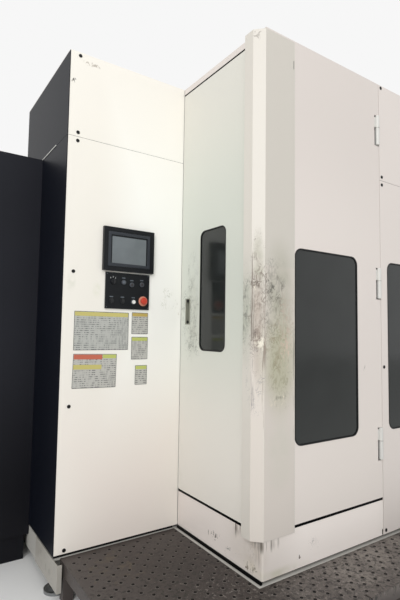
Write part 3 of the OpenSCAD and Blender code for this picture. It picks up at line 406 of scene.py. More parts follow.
def use_group(tree, group, values):
    """Places a group in a material with its own values."""
    placed = tree.nodes.new("ShaderNodeGroup")
    placed.node_tree = group
    for key, value in values.items():
        socket(tree, value, placed.inputs[key])
    return placed.outputs


def surface(tree, shader, layer, colour, relief, depth):
    """Feeds a colour and a layer's roughness and height to the shader."""
    bump = node(tree, "ShaderNodeBump", {"Strength": relief, "Distance": depth, "Height": layer["Height"]})
    socket(tree, colour, shader["Base Color"])
    socket(tree, layer["Roughness"], shader["Roughness"])
    socket(tree, bump.outputs[0], shader["Normal"])


def lay_stains(tree, below, stains):
    """Mixes each stain's colour over what lies below it."""
    for kind, centre, reach, grain, density, softness, colour, strength in stains:
        mask = use_group(tree, kind, {
            "Centre": at(*centre), "Reach": Vector(reach) * MM, "Grain": grain, "Density": density,
            "Softness": softness})["Mask"]
        below = blend_colours(tree, maths(tree, "MULTIPLY", mask, strength), below, srgb(colour))
    return below


def coated(name, colour, stains=(), drift=0.05, peel=220.0, relief=0.06, shine=0.4):
    """A sprayed or moulded surface with its stains."""
    tree, shader = new_material(name, {"Specular IOR Level": shine})
    coat = use_group(tree, COAT, {"Colour": srgb(colour), "Drift": drift, "Peel": peel})
    surface(tree, shader, coat, lay_stains(tree, coat["Colour"], stains), relief, COAT_DEPTH)


def ground(name, colour, stretch=(1, 1, 1), depth=0.3, metallic=1.0):
    """Bare metal with the lines of its tool."""
    tree, shader = new_material(name, {"Metallic": metallic})
    lines = use_group(tree, GRAIN, {"Colour": srgb(colour), "Stretch": stretch, "Depth": depth})
    surface(tree, shader, lines, lines["Colour"], 0.15, GRAIN_DEPTH)


def dress(finish, *names):
    """Gives solids their finish."""
    for name in names:
        for place in NODES[name].material_slots:
            place.material = FINISHES[finish]


# %% [markdown]
# ## The enclosure's paint
# The panels are a warm off-white, the magazine front a cleaner white, the corner cover a shade duller.
# Hands have left grey-brown dirt where they push the corner: on the chamfer, on both flanges and round
# the pull. Dirty coolant has run down under the cover and under the end of the door's gap, and the kick
# plate's bottom edge has small rust marks. Every patch has its own centre, so none of this repeats.

# %% Stains
BROWN = (118, 106, 96)
GREY = (112, 113, 106)
OLIVE = (179, 177, 154)
PINKISH = (176, 164, 152)
CREAM = (222, 214, 196)
RUST = (72, 58, 48)
BLACKENED = (34, 31, 30)

pull_stains = [
    (TONE, (0, 400, 1500), (100, 900, 1000), 1, 0, 0.8, (207, 212, 202), 0.8),
    (TONE, (0, 400, 200), (100, 900, 900), 1, 0, 0.9, (232, 227, 219), 0.8),
    (FILM, (0, 600, 1200), (60, 90, 300), 14, 0.5, 0, (196, 198, 186), 0.95),
    (SCUFFS, (0, 610, 1450), (60, 80, 150), 46, 0.26, 0.08, GREY, 0.8),
    (SCUFFS, (0, 640, 1240), (60, 120, 230), 52, 0.3, 0.09, GREY, 0.85),
    (SMUDGE, (0, 595, 1180), (60, 80, 250), 56, 0.5, 0.14, GREY, 0.55),
    (SCUFFS, (0, 600, 1045), (60, 100, 130), 46, 0.36, 0.09, GREY, 0.95),
    (SMUDGE, (0, 595, 1060), (60, 80, 100), 55, 0.5, 0.16, (150, 150, 152), 0.45),
]
kick_stains_and_light = [
    # These two tones lighten the kick plate's front and left faces, against the shade at its foot: painted light.
    (TONE, (560, -2, 100), (520, 16, 200), 1, 0, 0.5, (246, 238, 232), 0.9),
    (TONE, (0, 480, 100), (16, 320, 200), 1, 0, 0.6, (236, 228, 222), 0.9),
    (FILM, (0, 100, 110), (80, 160, 130), 9, 0.2, 0, (206, 196, 184), 0.8),
    (DRIPS, (0, 176, 176), (30, 56, 64), 125, 0.7, 0.14, (78, 66, 56), 0.9),
    (DRIPS, (30, 30, 152), (140, 120, 56), 75, 0.8, 0.2, (104, 96, 86), 0.9),
    (DRIPS, (0, 30, 100), (60, 80, 100), 80, 0.45, 0.2, BROWN, 0.5),
    (SCUFFS, (0, 60, 110), (60, 80, 100), 70, 0.2, 0.04, BROWN, 0.5),
    (SMUDGE, (0, 380, 70), (40, 110, 50), 62, 0.24, 0.04, RUST, 0.9),
    (SMUDGE, (0, 230, 40), (40, 110, 46), 60, 0.26, 0.05, (96, 104, 100), 0.9),
    (SMUDGE, (0, 84, 30), (60, 76, 46), 50, 0.56, 0.06, RUST, 0.95),
    (FILM, (0, 60, 30), (60, 90, 46), 14, 0.1, 0, CREAM, 0.7),
    (FILM, (90, 0, 10), (260, 60, 34), 9, 0.1, 0, (206, 202, 184), 0.8),
    (SCUFFS, (330, 0, 70), (50, 60, 60), 36, 0.3, 0.05, BLACKENED, 0.95),
    (SMUDGE, (245, 0, 45), (40, 60, 36), 50, 0.3, 0.04, RUST, 0.85),
]
pane_stains = [
    (TONE, (500, 0, 2500), (900, 100, 900), 1, 0, 0.8, (216, 208, 202), 0.9),
    (TONE, (500, 0, 200), (900, 100, 900), 1, 0, 0.9, (227, 219, 212), 0.8),
    (SMUDGE, (745, 0, 930), (30, 40, 45), 120, 0.3, 0.06, GREY, 0.8),
]
cover_stains = [
    (TONE, (101, -3, 2050), (98, 5, 640), 1, 0, 0.03, (203, 198, 189), 0.95),
    (TONE, (101, -3, 800), (98, 5, 640), 1, 0, 0.03, (211, 203, 195), 0.95),
    (TONE, (-19, 20, 500), (30, 30, 650), 1, 0, 0.4, (216, 208, 199), 0.9),
    (FILM, (-20, 20, 1190), (42, 42, 420), 14, 0.7, 0, PINKISH, 1.0),
    (FILM, (-18, 20, 1450), (42, 42, 190), 14, 0.4, 0, (178, 176, 160), 0.9),
    (FILM, (100, -3, 1290), (140, 70, 340), 12, 0.6, 0, (178, 175, 161), 1.0),
    (FILM, (100, -3, 980), (150, 70, 330), 12, 0.85, 0, OLIVE, 1.0),
    (FILM, (100, -3, 560), (120, 60, 260), 10, 0.4, 0, (202, 199, 187), 0.6),
    (FILM, (-40, 80, 1210), (70, 60, 320), 14, 0.6, 0, (186, 188, 175), 1.0),
    (SMUDGE, (-18, 20, 1230), (70, 70, 360), 50, 0.5, 0.2, BROWN, 0.6),
    (SCUFFS, (-18, 20, 1250), (70, 70, 400), 42, 0.34, 0.1, BROWN, 0.9),
    (SMUDGE, (-20, 24, 1130), (52, 52, 60), 44, 0.5, 0.1, (104, 92, 84), 0.85),
    (SMUDGE, (-12, 14, 1070), (40, 40, 50), 36, 0.85, 0.12, (234, 228, 212), 0.95),
    (DRIPS, (-36, 38, 1240), (14, 14, 380), 150, 0.85, 0.16, (116, 106, 96), 0.85),
    (DRIPS, (-36, 38, 880), (12, 12, 220), 150, 0.7, 0.16, (128, 124, 124), 0.7),
    (SCUFFS, (-24, 28, 1060), (44, 44, 60), 34, 0.46, 0.07, (92, 80, 72), 0.95),
    (SCUFFS, (-26, 30, 1345), (40, 40, 30), 40, 0.46, 0.1, (92, 80, 68), 0.9),
    (SMUDGE, (-24, 28, 1322), (24, 24, 22), 60, 0.6, 0.08, CREAM, 0.9),
    (SCUFFS, (-26, 28, 900), (60, 60, 190), 40, 0.26, 0.08, (126, 124, 130), 0.9),
    (SMUDGE, (-38, 90, 1200), (60, 60, 300), 50, 0.52, 0.16, GREY, 0.65),
    (SCUFFS, (-38, 90, 1220), (60, 60, 280), 44, 0.3, 0.08, GREY, 0.8),
    (SMUDGE, (76, -3, 1310), (116, 50, 200), 36, 0.54, 0.26, (106, 102, 94), 0.85),
    (SMUDGE, (40, -3, 1330), (60, 50, 130), 60, 0.52, 0.1, (84, 82, 76), 0.8),
    (SCUFFS, (70, -3, 1380), (90, 50, 130), 34, 0.36, 0.09, (92, 90, 84), 0.75),
    (SCUFFS, (95, -3, 1175), (140, 50, 170), 34, 0.38, 0.09, (104, 100, 90), 0.8),
    (SMUDGE, (90, -3, 1030), (140, 50, 280), 34, 0.5, 0.2, (146, 134, 110), 0.75),
    (SCUFFS, (100, -3, 1010), (140, 50, 300), 30, 0.36, 0.07, (136, 129, 106), 0.75),
    (SCUFFS, (140, -3, 1120), (70, 50, 240), 34, 0.44, 0.07, (214, 190, 174), 0.9),
    (SMUDGE, (110, -3, 818), (100, 50, 46), 60, 0.5, 0.24, (112, 112, 98), 0.8),
    (SCUFFS, (90, -3, 795), (70, 50, 44), 40, 0.4, 0.07, CREAM, 0.95),
    (DRIPS, (6, 0, 1050), (16, 40, 520), 140, 0.8, 0.2, (134, 120, 108), 0.8),
    (DRIPS, (192, 0, 1000), (14, 40, 520), 140, 0.7, 0.2, (132, 130, 118), 0.8),
    (SCUFFS, (-24, 27, 2558), (26, 26, 34), 24, 0.62, 0.06, (96, 86, 78), 0.9),
]
magazine_stains = [
    (TONE, (-150, MAGAZINE_Y, 1500), (420, 60, 1200), 1, 0, 0.9, (252, 252, 247), 0.9),
    (TONE, (-350, MAGAZINE_Y, 100), (600, 60, 900), 1, 0, 0.95, (241, 231, 223), 0.9),
    (SCUFFS, (-95, MAGAZINE_Y, 1300), (70, 40, 80), 34, 0.26, 0.06, (178, 180, 160), 0.9),
    (SMUDGE, (-30, MAGAZINE_Y, 1240), (45, 40, 110), 60, 0.2, 0.1, (196, 186, 176), 0.7),
    (FILM, (-672, MAGAZINE_Y, 1360), (35, 40, 60), 30, 0.1, 0, (222, 221, 208), 0.7),
    (FILM, (-530, MAGAZINE_Y, 1330), (32, 40, 60), 30, 0.1, 0, (230, 229, 214), 0.7),
    (SMUDGE, (-692, MAGAZINE_Y, 2436), (22, 30, 26), 120, 0.6, 0.04, BLACKENED, 0.95),
    (SMUDGE, (-590, MAGAZINE_Y, 2556), (75, 30, 24), 80, 0.6, 0.1, (150, 138, 124), 0.7),
]
# The cabinet turns darker towards the floor: painted shade.
cabinet_low_shade = [(TONE, (-1000, 1500, 0), (1400, 1900, 1100), 1, 0, 0.95, (17, 17, 21), 0.9)]
bracket_stains = [(SMUDGE, (MAGAZINE_X, 850, -80), (60, 260, 90), 30, 0.5, 0.2, (96, 90, 82), 0.8)]
print("stains:", len(pull_stains) + len(kick_stains_and_light) + len(cover_stains) + len(magazine_stains))

# %% Painted solids
PANEL_WHITE = (224, 216, 210)
coated("door_paint", PANEL_WHITE, pane_stains)
coated("side_paint", (220, 218, 209), pull_stains)
coated("kick_paint", (228, 220, 213), kick_stains_and_light)
coated("cover_paint", (216, 211, 202), cover_stains)
coated("panel_paint", PANEL_WHITE)
coated("magazine_paint", (242, 238, 229), magazine_stains)
coated("dark_paint", (13, 16, 25), drift=0.5, shine=0.12)
coated("cabinet_paint", (39, 40, 46), cabinet_low_shade, drift=0.5, shine=0.12)
coated("hinge_paint", (218, 217, 212), drift=0.2)
coated("inner_paint", (206, 205, 199))
coated("bracket_paint", (166, 162, 154), bracket_stains)

dress("door_paint", "door_right_panel")
dress("side_paint", "door_left_panel")
dress("kick_paint", "kick_plate")
dress("cover_paint", "corner_cover")
dress("panel_paint", "hinge_post", "roof_panels", "front_panel_lower", "front_panel_upper", "outer_panels",
      "operator_door")
dress("magazine_paint", "magazine_panel_lower", "magazine_panel_upper")
dress("dark_paint", "magazine_side_lower", "magazine_side_upper", "magazine_rear", "tool_door")
dress("cabinet_paint", "control_cabinet", "cabinet_door")
dress("hinge_paint", "hinge_pins", "door_hinges")
dress("inner_paint", "inner_walls", "divider")
dress("bracket_paint", "skirt_bracket")

# %% [markdown]
# ## Tray, tread and castings
# The tray's top edge shows as a pale strip all round the machine. Between it and the panels lies a black
# band, painted shade of the gap there: one material holds both, and changes colour at the band's height.
# The tread is steel plate with a worn dark coat, browner where feet have rubbed it, and darker in its left
# part under the magazine, which is painted shade. Castings carry a thick grey enamel, and the ground
# faces are bare iron.

# %% Base and machine finishes
# Above this height the tray's colour turns black: painted shade of the gap under the panels.
GAP_SHADE_FROM = at(0, 0, -14.9).z
GAP_SHADE_BLACK = (20, 20, 20)
tree, shader = new_material("tray_paint", {"Specular IOR Level": 0.3})
coat = use_group(tree, COAT, {"Colour": srgb((188, 186, 180)), "Drift": 0.5, "Peel": 150.0})
above = maths(tree, "GREATER_THAN", split(tree, object_place(tree))["Z"], GAP_SHADE_FROM)
surface(tree, shader, coat, blend_colours(tree, above, coat["Colour"], srgb(GAP_SHADE_BLACK)), 0.1, COAT_DEPTH)

tread_stains_and_shade = [
    # This first tone darkens the tread's left part, under the magazine: painted shade. The other patches are dirt.
    (TONE, (-250, 250, -15), (500, 800, 60), 1, 0, 0.9, (54, 47, 44), 0.95),
    (FILM, (700, -150, -15), (900, 330, 60), 7, 0.4, 0, (126, 119, 112), 0.9),
    (SMUDGE, (200, 0, -15), (2400, 1500, 60), 24, 0.45, 0.16, (52, 46, 44), 0.6),
    (SMUDGE, (200, 0, -15), (2400, 1500, 60), 48, 0.52, 0.1, (26, 22, 21), 0.8),
    (SMUDGE, (300, -100, -15), (1900, 900, 60), 70, 0.3, 0.12, (150, 142, 136), 0.6),
    (SMUDGE, (-500, 500, -15), (350, 300, 60), 20, 0.5, 0.2, (92, 80, 62), 0.6),
]
coated("tread_paint", (80, 73, 70), tread_stains_and_shade, drift=0.6, peel=90.0, relief=0.3, shine=0.3)
coated("casting_paint", (112, 116, 118), drift=0.3, peel=60.0, relief=0.35)
coated("machine_paint", (134, 137, 138), drift=0.3, peel=80.0, relief=0.3)
coated("motor_paint", (62, 66, 70), drift=0.3)
coated("equipment_paint", (88, 92, 95), drift=0.4)
coated("console_paint", (52, 55, 60), drift=0.2, peel=260.0, relief=0.25)
ground("ground_steel", (196, 198, 199), (30, 1, 30))
ground("rail_steel", (188, 190, 191), (1, 40, 1))
ground("drum_steel", (132, 135, 137), (12, 12, 1))
ground("ground_iron", (150, 153, 154), (1, 25, 1), 0.4)
ground("zinc_steel", (158, 160, 161), depth=0.4)
ground("ram_chrome", (205, 207, 208), (1, 1, 60), 0.1)

dress("tray_paint", "base_tray")
dress("tread_paint", "step_platform")
dress("casting_paint", "bed", "changer_base", "z_saddle", "column")
dress("machine_paint", "changer_arm", "spindle_head")
dress("motor_paint", "drum_motor", "atc_gearbox")
dress("equipment_paint", "chip_conveyor", "coolant_tank")
dress("console_paint", "cnc_panel")
dress("ground_steel", "spindle", "tool_holders", "drum_pinion", "atc_shaft")
dress("rail_steel", "linear_rails")
dress("drum_steel", "tool_drum", "atc_arm")
dress("ground_iron", "pallets", "rotary_table")
dress("zinc_steel", "levelling_feet")
dress("ram_chrome", "lift_ram")

# %% [markdown]
# ## Plastic, rubber and glass
# The display and the button plate are black moulded plastic with a fine texture. The stop buttons are
# orange-red and glossy. The window panes are tinted so dark that the inside hardly shows, and they still
# mirror the room, so they are glass with a little transmission and a dark body.

# %% Plastic, rubber and glass
coated("black_plastic", (17, 20, 24), drift=0.3, peel=500.0, relief=0.2, shine=0.25)
coated("black_gloss", (22, 24, 27), drift=0.1, peel=700.0, relief=0.05, shine=0.5)
coated("white_plastic", (236, 236, 232), drift=0.1, peel=600.0)
coated("red_plastic", (196, 60, 40), drift=0.1, peel=600.0, relief=0.03, shine=0.5)
coated("pull_grey", (142, 143, 130), drift=0.2, peel=500.0)
coated("rubber", (24, 24, 25), drift=0.2, peel=400.0, relief=0.3, shine=0.2)
# This near-black finish serves the strips in the door's gaps and the louvres' slots: painted shade.
coated("painted_shade_black", (6, 6, 7), drift=0.2, peel=500.0, relief=0.1, shine=0.05)
coated("screw_black", (16, 16, 17), drift=0.1, peel=800.0, shine=0.3)


def tinted(name, tint, transmission):
    """Dark glass: smeared a little, so that its gloss isn't even."""
    tree, shader = new_material(name, {
        "Transmission Weight": transmission, "IOR": 1.45, "Specular IOR Level": 0.5})
    smear = noise(tree, object_place(tree), 7.0, 5.0)
    lighter = shaded(tree, srgb(tint), 1.7)
    socket(tree, blend_colours(tree, smear, srgb(tint), lighter), shader["Base Color"])
    socket(tree, remap(tree, smear, to_min=0.02, to_max=0.22), shader["Roughness"])


tinted("tinted_glass", (40, 43, 42), 0.35)
tinted("screen_glass", (93, 99, 102), 0.0)

dress("black_plastic", "hmi_display", "button_panel", "main_switch")
dress("black_gloss", "selector_knob", "push_left", "push_mid")
dress("white_plastic", "push_white")
dress("red_plastic", "estop_button", "cnc_estop")
dress("pull_grey", "door_pull")
dress("tinted_glass", "front_window", "door_windows", "operator_window")

# %% [markdown]
# ## A small workbench
# The pieces that follow start as a primitive lying flat: X to the right, Y up the panel and Z out of it.
# They are shaped there, and then turned onto the side of the machine where they belong. The last step
# applies that turn, so a finished piece sits at the origin with its place in its mesh, as a solid does.

# %% Helpers to open, change and close a piece


def only(*objects):
    """Selects just these objects, the first one active."""
    clear()
    for obj in objects:
        obj.select_set(True)
    bpy.context.view_layer.objects.active = objects[0]


def apply_place():
    bpy.ops.object.transform_apply(location=True, rotation=True, scale=True)


def edit(obj, test):
    """Opens a piece with the faces selected that pass a test on their centre and normal."""
    only(obj)
    bpy.ops.object.mode_set(mode="EDIT")
    bpy.ops.mesh.select_mode(type="FACE")
    bpy.ops.mesh.select_all(action="DESELECT")
    bpy.ops.object.mode_set(mode="OBJECT")
    for face in obj.data.polygons:
        face.select = test(face.center, face.normal)
    bpy.ops.object.mode_set(mode="EDIT")


def done():
    bpy.ops.object.mode_set(mode="OBJECT")


def facing_up(centre, normal):
    return normal.z > 0.9


def facing_down(centre, normal):
    return normal.z < -0.9


def everything(centre, normal):
    return True


def applied(obj, kind, **settings):
    """Adds a modifier and applies it."""
    only(obj)
    made = obj.modifiers.new(kind.lower(), kind)
    for key, value in settings.items():
        setattr(made, key, value)
    bpy.ops.object.modifier_apply(modifier=made.name)


# %% Shapes that start flat


def block(width, height, depth, ease=0.0, x=0.0, y=0.0, z=0.0):
    """A cuboid with eased edges: its lower left back corner lies at x, y, z."""
    clear()
    bpy.ops.mesh.primitive_cube_add(size=1, location=(x + width / 2, y + height / 2, z + depth / 2))
    obj = bpy.context.object
    obj.scale = (width, height, depth)
    apply_place()
    if ease:
        applied(obj, "BEVEL", width=ease, segments=2)
    return obj


def sheet(width, height, radius, steps=6):
    """A flat face with round corners, centred."""
    clear()
    bpy.ops.mesh.primitive_plane_add(size=1)
    obj = bpy.context.object
    obj.scale = (width, height, 1)
    apply_place()
    edit(obj, everything)
    if radius:
        bpy.ops.mesh.select_mode(type="VERT")
        bpy.ops.mesh.select_all(action="SELECT")
        bpy.ops.mesh.bevel(offset=radius, segments=steps, affect="VERTICES")
    done()
    return obj


def ring(width, height, radius, wide, proud):
    """A flat frame: a sheet with its middle cut out, given a thickness and soft edges."""
    obj = sheet(width, height, radius)
    edit(obj, everything)
    bpy.ops.mesh.inset(thickness=wide)
    bpy.ops.mesh.delete(type="FACE")
    done()
    applied(obj, "SOLIDIFY", thickness=proud, offset=1.0)
    applied(obj, "BEVEL", width=proud * 0.3, segments=2, limit_method="ANGLE")
    return obj


def plate(width, height, radius, thick):
    """A thin plate with round corners."""
    obj = sheet(width, height, radius)
    applied(obj, "SOLIDIFY", thickness=thick, offset=1.0)
    return obj


def stud(radius, height, ease, socket_r=0.0, socket_depth=0.0, around=24):
    """A round head with an eased rim and, if asked, a sunk middle."""
    clear()
    bpy.ops.mesh.primitive_cylinder_add(vertices=around, radius=radius, depth=height, location=(0, 0, height / 2))
    obj = bpy.context.object
    apply_place()
    edit(obj, facing_up)
    bpy.ops.mesh.bevel(offset=ease, segments=2, affect="EDGES")
    done()
    if socket_r:
        edit(obj, lambda centre, normal: normal.z > 0.99 and centre.z > height * 0.99)
        bpy.ops.mesh.inset(thickness=radius - ease - socket_r)
        bpy.ops.mesh.extrude_region_move(TRANSFORM_OT_translate={"value": (0, 0, -socket_depth)})
        done()
    return obj


def turned(inner, outer, height, ease, around=32):
    """A round collar: an upright rectangle spun round the axis, with its edges eased."""
    clear()
    bpy.ops.mesh.primitive_plane_add(size=1, location=((inner + outer) / 2, 0, height / 2),
                                     rotation=(math.pi / 2, 0, 0))
    obj = bpy.context.object
    obj.scale = (outer - inner, height, 1)
    apply_place()
    edit(obj, everything)
    bpy.ops.mesh.delete(type="ONLY_FACE")
    bpy.ops.mesh.select_mode(type="EDGE")
    bpy.ops.mesh.select_all(action="SELECT")
    bpy.ops.mesh.spin(steps=around, angle=2 * math.pi, center=(0, 0, 0), axis=(0, 0, 1))
    bpy.ops.mesh.select_all(action="SELECT")
    bpy.ops.mesh.remove_doubles(threshold=0.001)
    bpy.ops.mesh.normals_make_consistent(inside=False)
    done()
    applied(obj, "BEVEL", width=ease, segments=2, limit_method="ANGLE")
    return obj


def joined(*objects):
    """Several pieces made one."""
    only(*objects)
    bpy.ops.object.join()
    return bpy.context.object


def copies(obj, spots):
    """A copy of a flat-lying piece at each spot, (x, y) or (x, y, z), each with its own mesh, joined."""
    made = []
    for spot in spots:
        twin = obj.copy()
        twin.data = obj.data.copy()
        twin.location = Vector(spot).to_3d()
        bpy.context.scene.collection.objects.link(twin)
        made.append(twin)
    bpy.data.objects.remove(obj)
    result = joined(*made)
    apply_place()
    return result


# %% [markdown]
# ### From the bench to the machine
# A finished piece gets its side, its place, a finish, a body to ride on and a material slot.

# %% Sides, slots and the last step


def side(across, upward, outward):
    """The turn that lays a flat piece onto one side."""
    return Matrix((across, upward, outward)).transposed().to_4x4()


SIDES = {
    "front": side((1, 0, 0), (0, 0, 1), (0, -1, 0)),
    "left": side((0, -1, 0), (0, 0, 1), (-1, 0, 0)),
    "right": side((0, 1, 0), (0, 0, 1), (1, 0, 0)),
    "rear": side((-1, 0, 0), (0, 0, 1), (0, 1, 0)),
    "top": side((1, 0, 0), (0, 1, 0), (0, 0, 1)),
}
ORIGIN = (0, 0, 0)
SMOOTH_BELOW = math.radians(35)


def settle(obj, name, face, place, finish, body="machine"):
    """Turns a piece onto its side of the machine at a place in millimetres, and names, finishes and hangs it."""
    only(obj)
    obj.matrix_world = Matrix.Translation(at(*place)) @ SIDES[face] @ Matrix.Diagonal((MM, MM, MM, 1))
    apply_place()
    obj.name = name
    obj.data.name = name
    if finish:
        obj.data.materials.clear()
        obj.data.materials.append(FINISHES[finish])
    bpy.ops.object.shade_smooth_by_angle(angle=SMOOTH_BELOW)
    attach(obj, body)
    return obj


print("workbench ready")

# %% [markdown]
# ## Rubber round the windows
# Each pane is held in a black rubber section that clips over the edge of the cut. Seen from outside, it
# is a narrow dark frame that follows the round corners. It is modelled as a sheet with its corners
# rounded, inset to the width of the rubber, emptied in the middle and thickened.

# %% Window rubbers
RUBBER_WIDE = 7
RUBBER_PROUD = 1.5
SUNK = 0.2
FRONT_W, FRONT_H, FRONT_Z = 486, 969, 568
LEFT_W, LEFT_H, LEFT_Z = 237, 671, 1009
OPERATOR_FACE = low("operator_door").x + 25
WINDOWS = [
    ("front_window_rubber", "front", FRONT_W, FRONT_H, 47, (202 + FRONT_W / 2, -SUNK, FRONT_Z + FRONT_H / 2),
     "setup_door"),
    ("left_window_rubber", "left", LEFT_W, LEFT_H, 40, (SUNK, 295 + LEFT_W / 2, LEFT_Z + LEFT_H / 2), "setup_door"),
    ("fixed_window_rubber", "front", FRONT_W, FRONT_H, 47, (965 + FRONT_W / 2, SUNK, FRONT_Z + FRONT_H / 2),
     "machine"),
    ("operator_window_rubber", "right", 610, 800, 50, (OPERATOR_FACE - SUNK, middle("operator_door").y, 1370),
     "operator_door"),
]
for name, face, width, height, radius, place, body in WINDOWS:
    settle(ring(width, height, radius, RUBBER_WIDE, RUBBER_PROUD), name, face, place, "rubber", body)
print("rubbers:", len(WINDOWS))

# %% [markdown]
# ## Black strips in the door's gaps
# A black strip fills the open gap under the door and under the header rail, and laps a little over the
# kick plate: its black is painted shade of the open gap. Another such strip lies on the step, along the
# tray, painted shade of the gap at the panels' foot.

# %% Black strips in the gaps, painted shade
GAP_STRIP_DEEP = 12
GAP_STRIP_WIDE = 12.6
GAP_STRIP_FACE = GAP_STRIP_DEEP - 0.8
GAP_STRIP_LOW = high("kick_plate").z - 3
HEADER_GAP = 10
HEADER_LOW = TOP_Z - 34
# Black strips that stand in for the shade inside the gaps: painted shade.
for name, face, length, wide, ease, place in [
        ("door_gap_shade_front", "front", DOOR_W - 10, GAP_STRIP_WIDE, 0.4, (4, GAP_STRIP_FACE, GAP_STRIP_LOW)),
        ("door_gap_shade_left", "left", 700, GAP_STRIP_WIDE, 0.4, (GAP_STRIP_FACE, 722, GAP_STRIP_LOW)),
        ("header_gap_shade_left", "left", 600, HEADER_GAP - 0.4, 0.4, (12.3, 724, HEADER_LOW - HEADER_GAP + 0.2)),
        ("tray_gap_shade_left", "left", 722, 13, 3, (3, 724, high("step_platform").z))]:
    settle(block(length, wide, GAP_STRIP_DEEP, ease), name, face, place, "painted_shade_black")

# %% [markdown]
# ## Screws and seams
# The fixed panels are held by black socket screws, set close to the panels' corners. One screw is
# modelled, as a cylinder whose top edge is bevelled and whose middle is inset and pushed in. Copies of
# it stand in a column on each panel. The seams between panels hold a dark grey strip, painted shade of the
# open seam, and the low slot at the right, which lets water out, is a black plate, painted shade of its
# opening. A pale aluminium strip covers the seam on the magazine's side.

# %% Socket screws
MAGAZINE_SCREWS_Z = [2581, 2159, 2114, 1418, 724, 17]
FIXED_SCREWS_Z = [2584, 2040, 1993, 927, 20]


def screws(name, face, spots, head=None, finish="screw_black"):
    """Screw heads at places (x, y, z) in millimetres from the corner, on one side."""
    head = head or stud(9.5, 2.5, 0.8, 4, 1.8, around=20)
    turn_back = SIDES[face].to_3x3().transposed()
    settle(copies(head, [turn_back @ Vector(spot) for spot in spots]), name, face, ORIGIN, finish)


screws("magazine_screws", "front", [(-661, MAGAZINE_Y, z) for z in MAGAZINE_SCREWS_Z])
screws("fixed_panel_screws", "front", [(x, 0, z) for x in (925, RIGHT_X - 70) for z in FIXED_SCREWS_Z])
print("screws:", len(MAGAZINE_SCREWS_Z) + 2 * len(FIXED_SCREWS_Z))

# %% Seam strips and the drain slot, painted shade, and the strip over a seam
STRIP_FROM, STRIP_TO = 925, 1197
coated("seam_painted_shade", (92, 90, 86), drift=0.3, peel=400.0)
ground("alu_pale", (206, 206, 200), (1, 30, 1), 0.2, 0.4)
# Dark grey strips in the seams between panels: painted shade of the open seams.
for name, panel, x0, x1, y in [
        ("magazine_seam_shade", "magazine_panel", MAGAZINE_X, 0, MAGAZINE_Y),
        ("front_seam_shade", "front_panel", low("front_panel_lower").x, high("front_panel_lower").x, 0)]:
    seam = high(panel + "_lower").z
    gap = low(panel + "_upper").z - seam
    settle(block(x1 - x0 - 6, gap - 0.2, 4, 0.3), name, "front", (x0 + 3, y + 4.6, seam + 0.1), "seam_painted_shade")
    print(name, round(gap, 1), "mm")
# The drain slot is a black plate: painted shade of its opening.
settle(plate(7, 27, 3, 0.5), "drain_slot_shade", "front", (893, 0.2, 18), "screw_black")
settle(block(STRIP_TO - STRIP_FROM, 6, 3, 0.8), "magazine_seam_strip", "left", (MAGAZINE_X, STRIP_TO, 2137),
       "alu_pale")

# %% [markdown]
# ## The display
# The display's housing is a black frame with two steps in it. A thin inner frame sits on the first step,
# and the screen lies at the bottom of the second. The screen is a plate with small round corners.

# %% Display
HOUSING = middle("hmi_display")
HOUSING_FACE = low("hmi_display").y
FIRST_STEP = 3
SECOND_STEP = 6
coated("frame_slate", (50, 54, 60), drift=0.2, peel=500.0, shine=0.3)
settle(ring(253, 189, 0, 17, 2), "display_inner_frame", "front", (HOUSING.x, HOUSING_FACE + FIRST_STEP, HOUSING.z),
       "frame_slate")
settle(plate(206, 150, 3, 1.5), "display_screen", "front", (HOUSING.x, HOUSING_FACE + SECOND_STEP, HOUSING.z - 5),
       "screen_glass")

# %% [markdown]
# ## The button plate
# Under the display, a black plate carries a selector, three small devices and the buttons. Each device
# has a round bezel: a low stud whose middle is inset and pushed in, so that its lens lies a little
# deeper. Over the controls are small pale name strips, left blank. The stop button stands on a pale ring.

# %% Devices and rings
PLATE_Y = MAGAZINE_Y - 8
coated("bezel_metal", (74, 78, 84), drift=0.2, peel=500.0)
coated("lens_grey", (92, 99, 108), drift=0.2, peel=400.0)
coated("lens_dark", (52, 50, 52), drift=0.2, peel=400.0)
coated("pale_ring", (212, 142, 118), drift=0.1, peel=600.0)
DEVICES = [(-380, 1379, "lens_grey"), (-331, 1368, "lens_dark"), (-269, 1373, "lens_dark")]
for count, (x, z, lens) in enumerate(DEVICES):
    name = "device_" + str(count)
    settle(stud(13, 7, 1.5, 8, 1.5), name + "_bezel", "front", (x, PLATE_Y, z), "bezel_metal")
    settle(stud(8, 1.6, 0.8), name + "_lens", "front", (x, PLATE_Y - 5.6, z), lens)
STOP = middle("estop_button")
settle(turned(15, 27.4, 1.2, 0.4), "stop_ring", "front", (STOP.x, PLATE_Y - 3, STOP.z), "pale_ring")
BUTTONS = {"push_white": "bezel_metal", "push_left": "black_gloss", "push_mid": "black_gloss"}
for name, finish in BUTTONS.items():
    button = middle(name)
    settle(turned(10.6, 14.4, 4.8, 0.8), name + "_bezel", "front", (button.x, PLATE_Y, button.z), finish)

# %% Name strips, the selector's marks and the plate's screws
coated("strip_grey", (98, 106, 114), drift=0.3, peel=300.0)
coated("mark_white", (205, 207, 205), drift=0.1, peel=600.0)
strips = [(-380, 1403), (-331, 1392), (-269, 1397), (-319, 1297), (-450, 1297), (-385, 1297)]
settle(copies(plate(20, 5, 1, 0.8), strips), "name_strips", "front", (0, PLATE_Y, 0), "strip_grey")
ticks = [(-456, 1400), (-442, 1405), (-428, 1400)]
settle(copies(plate(2, 9, 0.5, 0.8), ticks), "selector_ticks", "front", (0, PLATE_Y, 0), "mark_white")
screws("button_plate_screws", "front", [(x, PLATE_Y, z) for x in (-477, -229) for z in (1240, 1422)],
       stud(3.5, 1.5, 0.5, 1.8, 0.8, around=14), "bezel_metal")
print("devices:", len(DEVICES), "buttons:", len(BUTTONS))

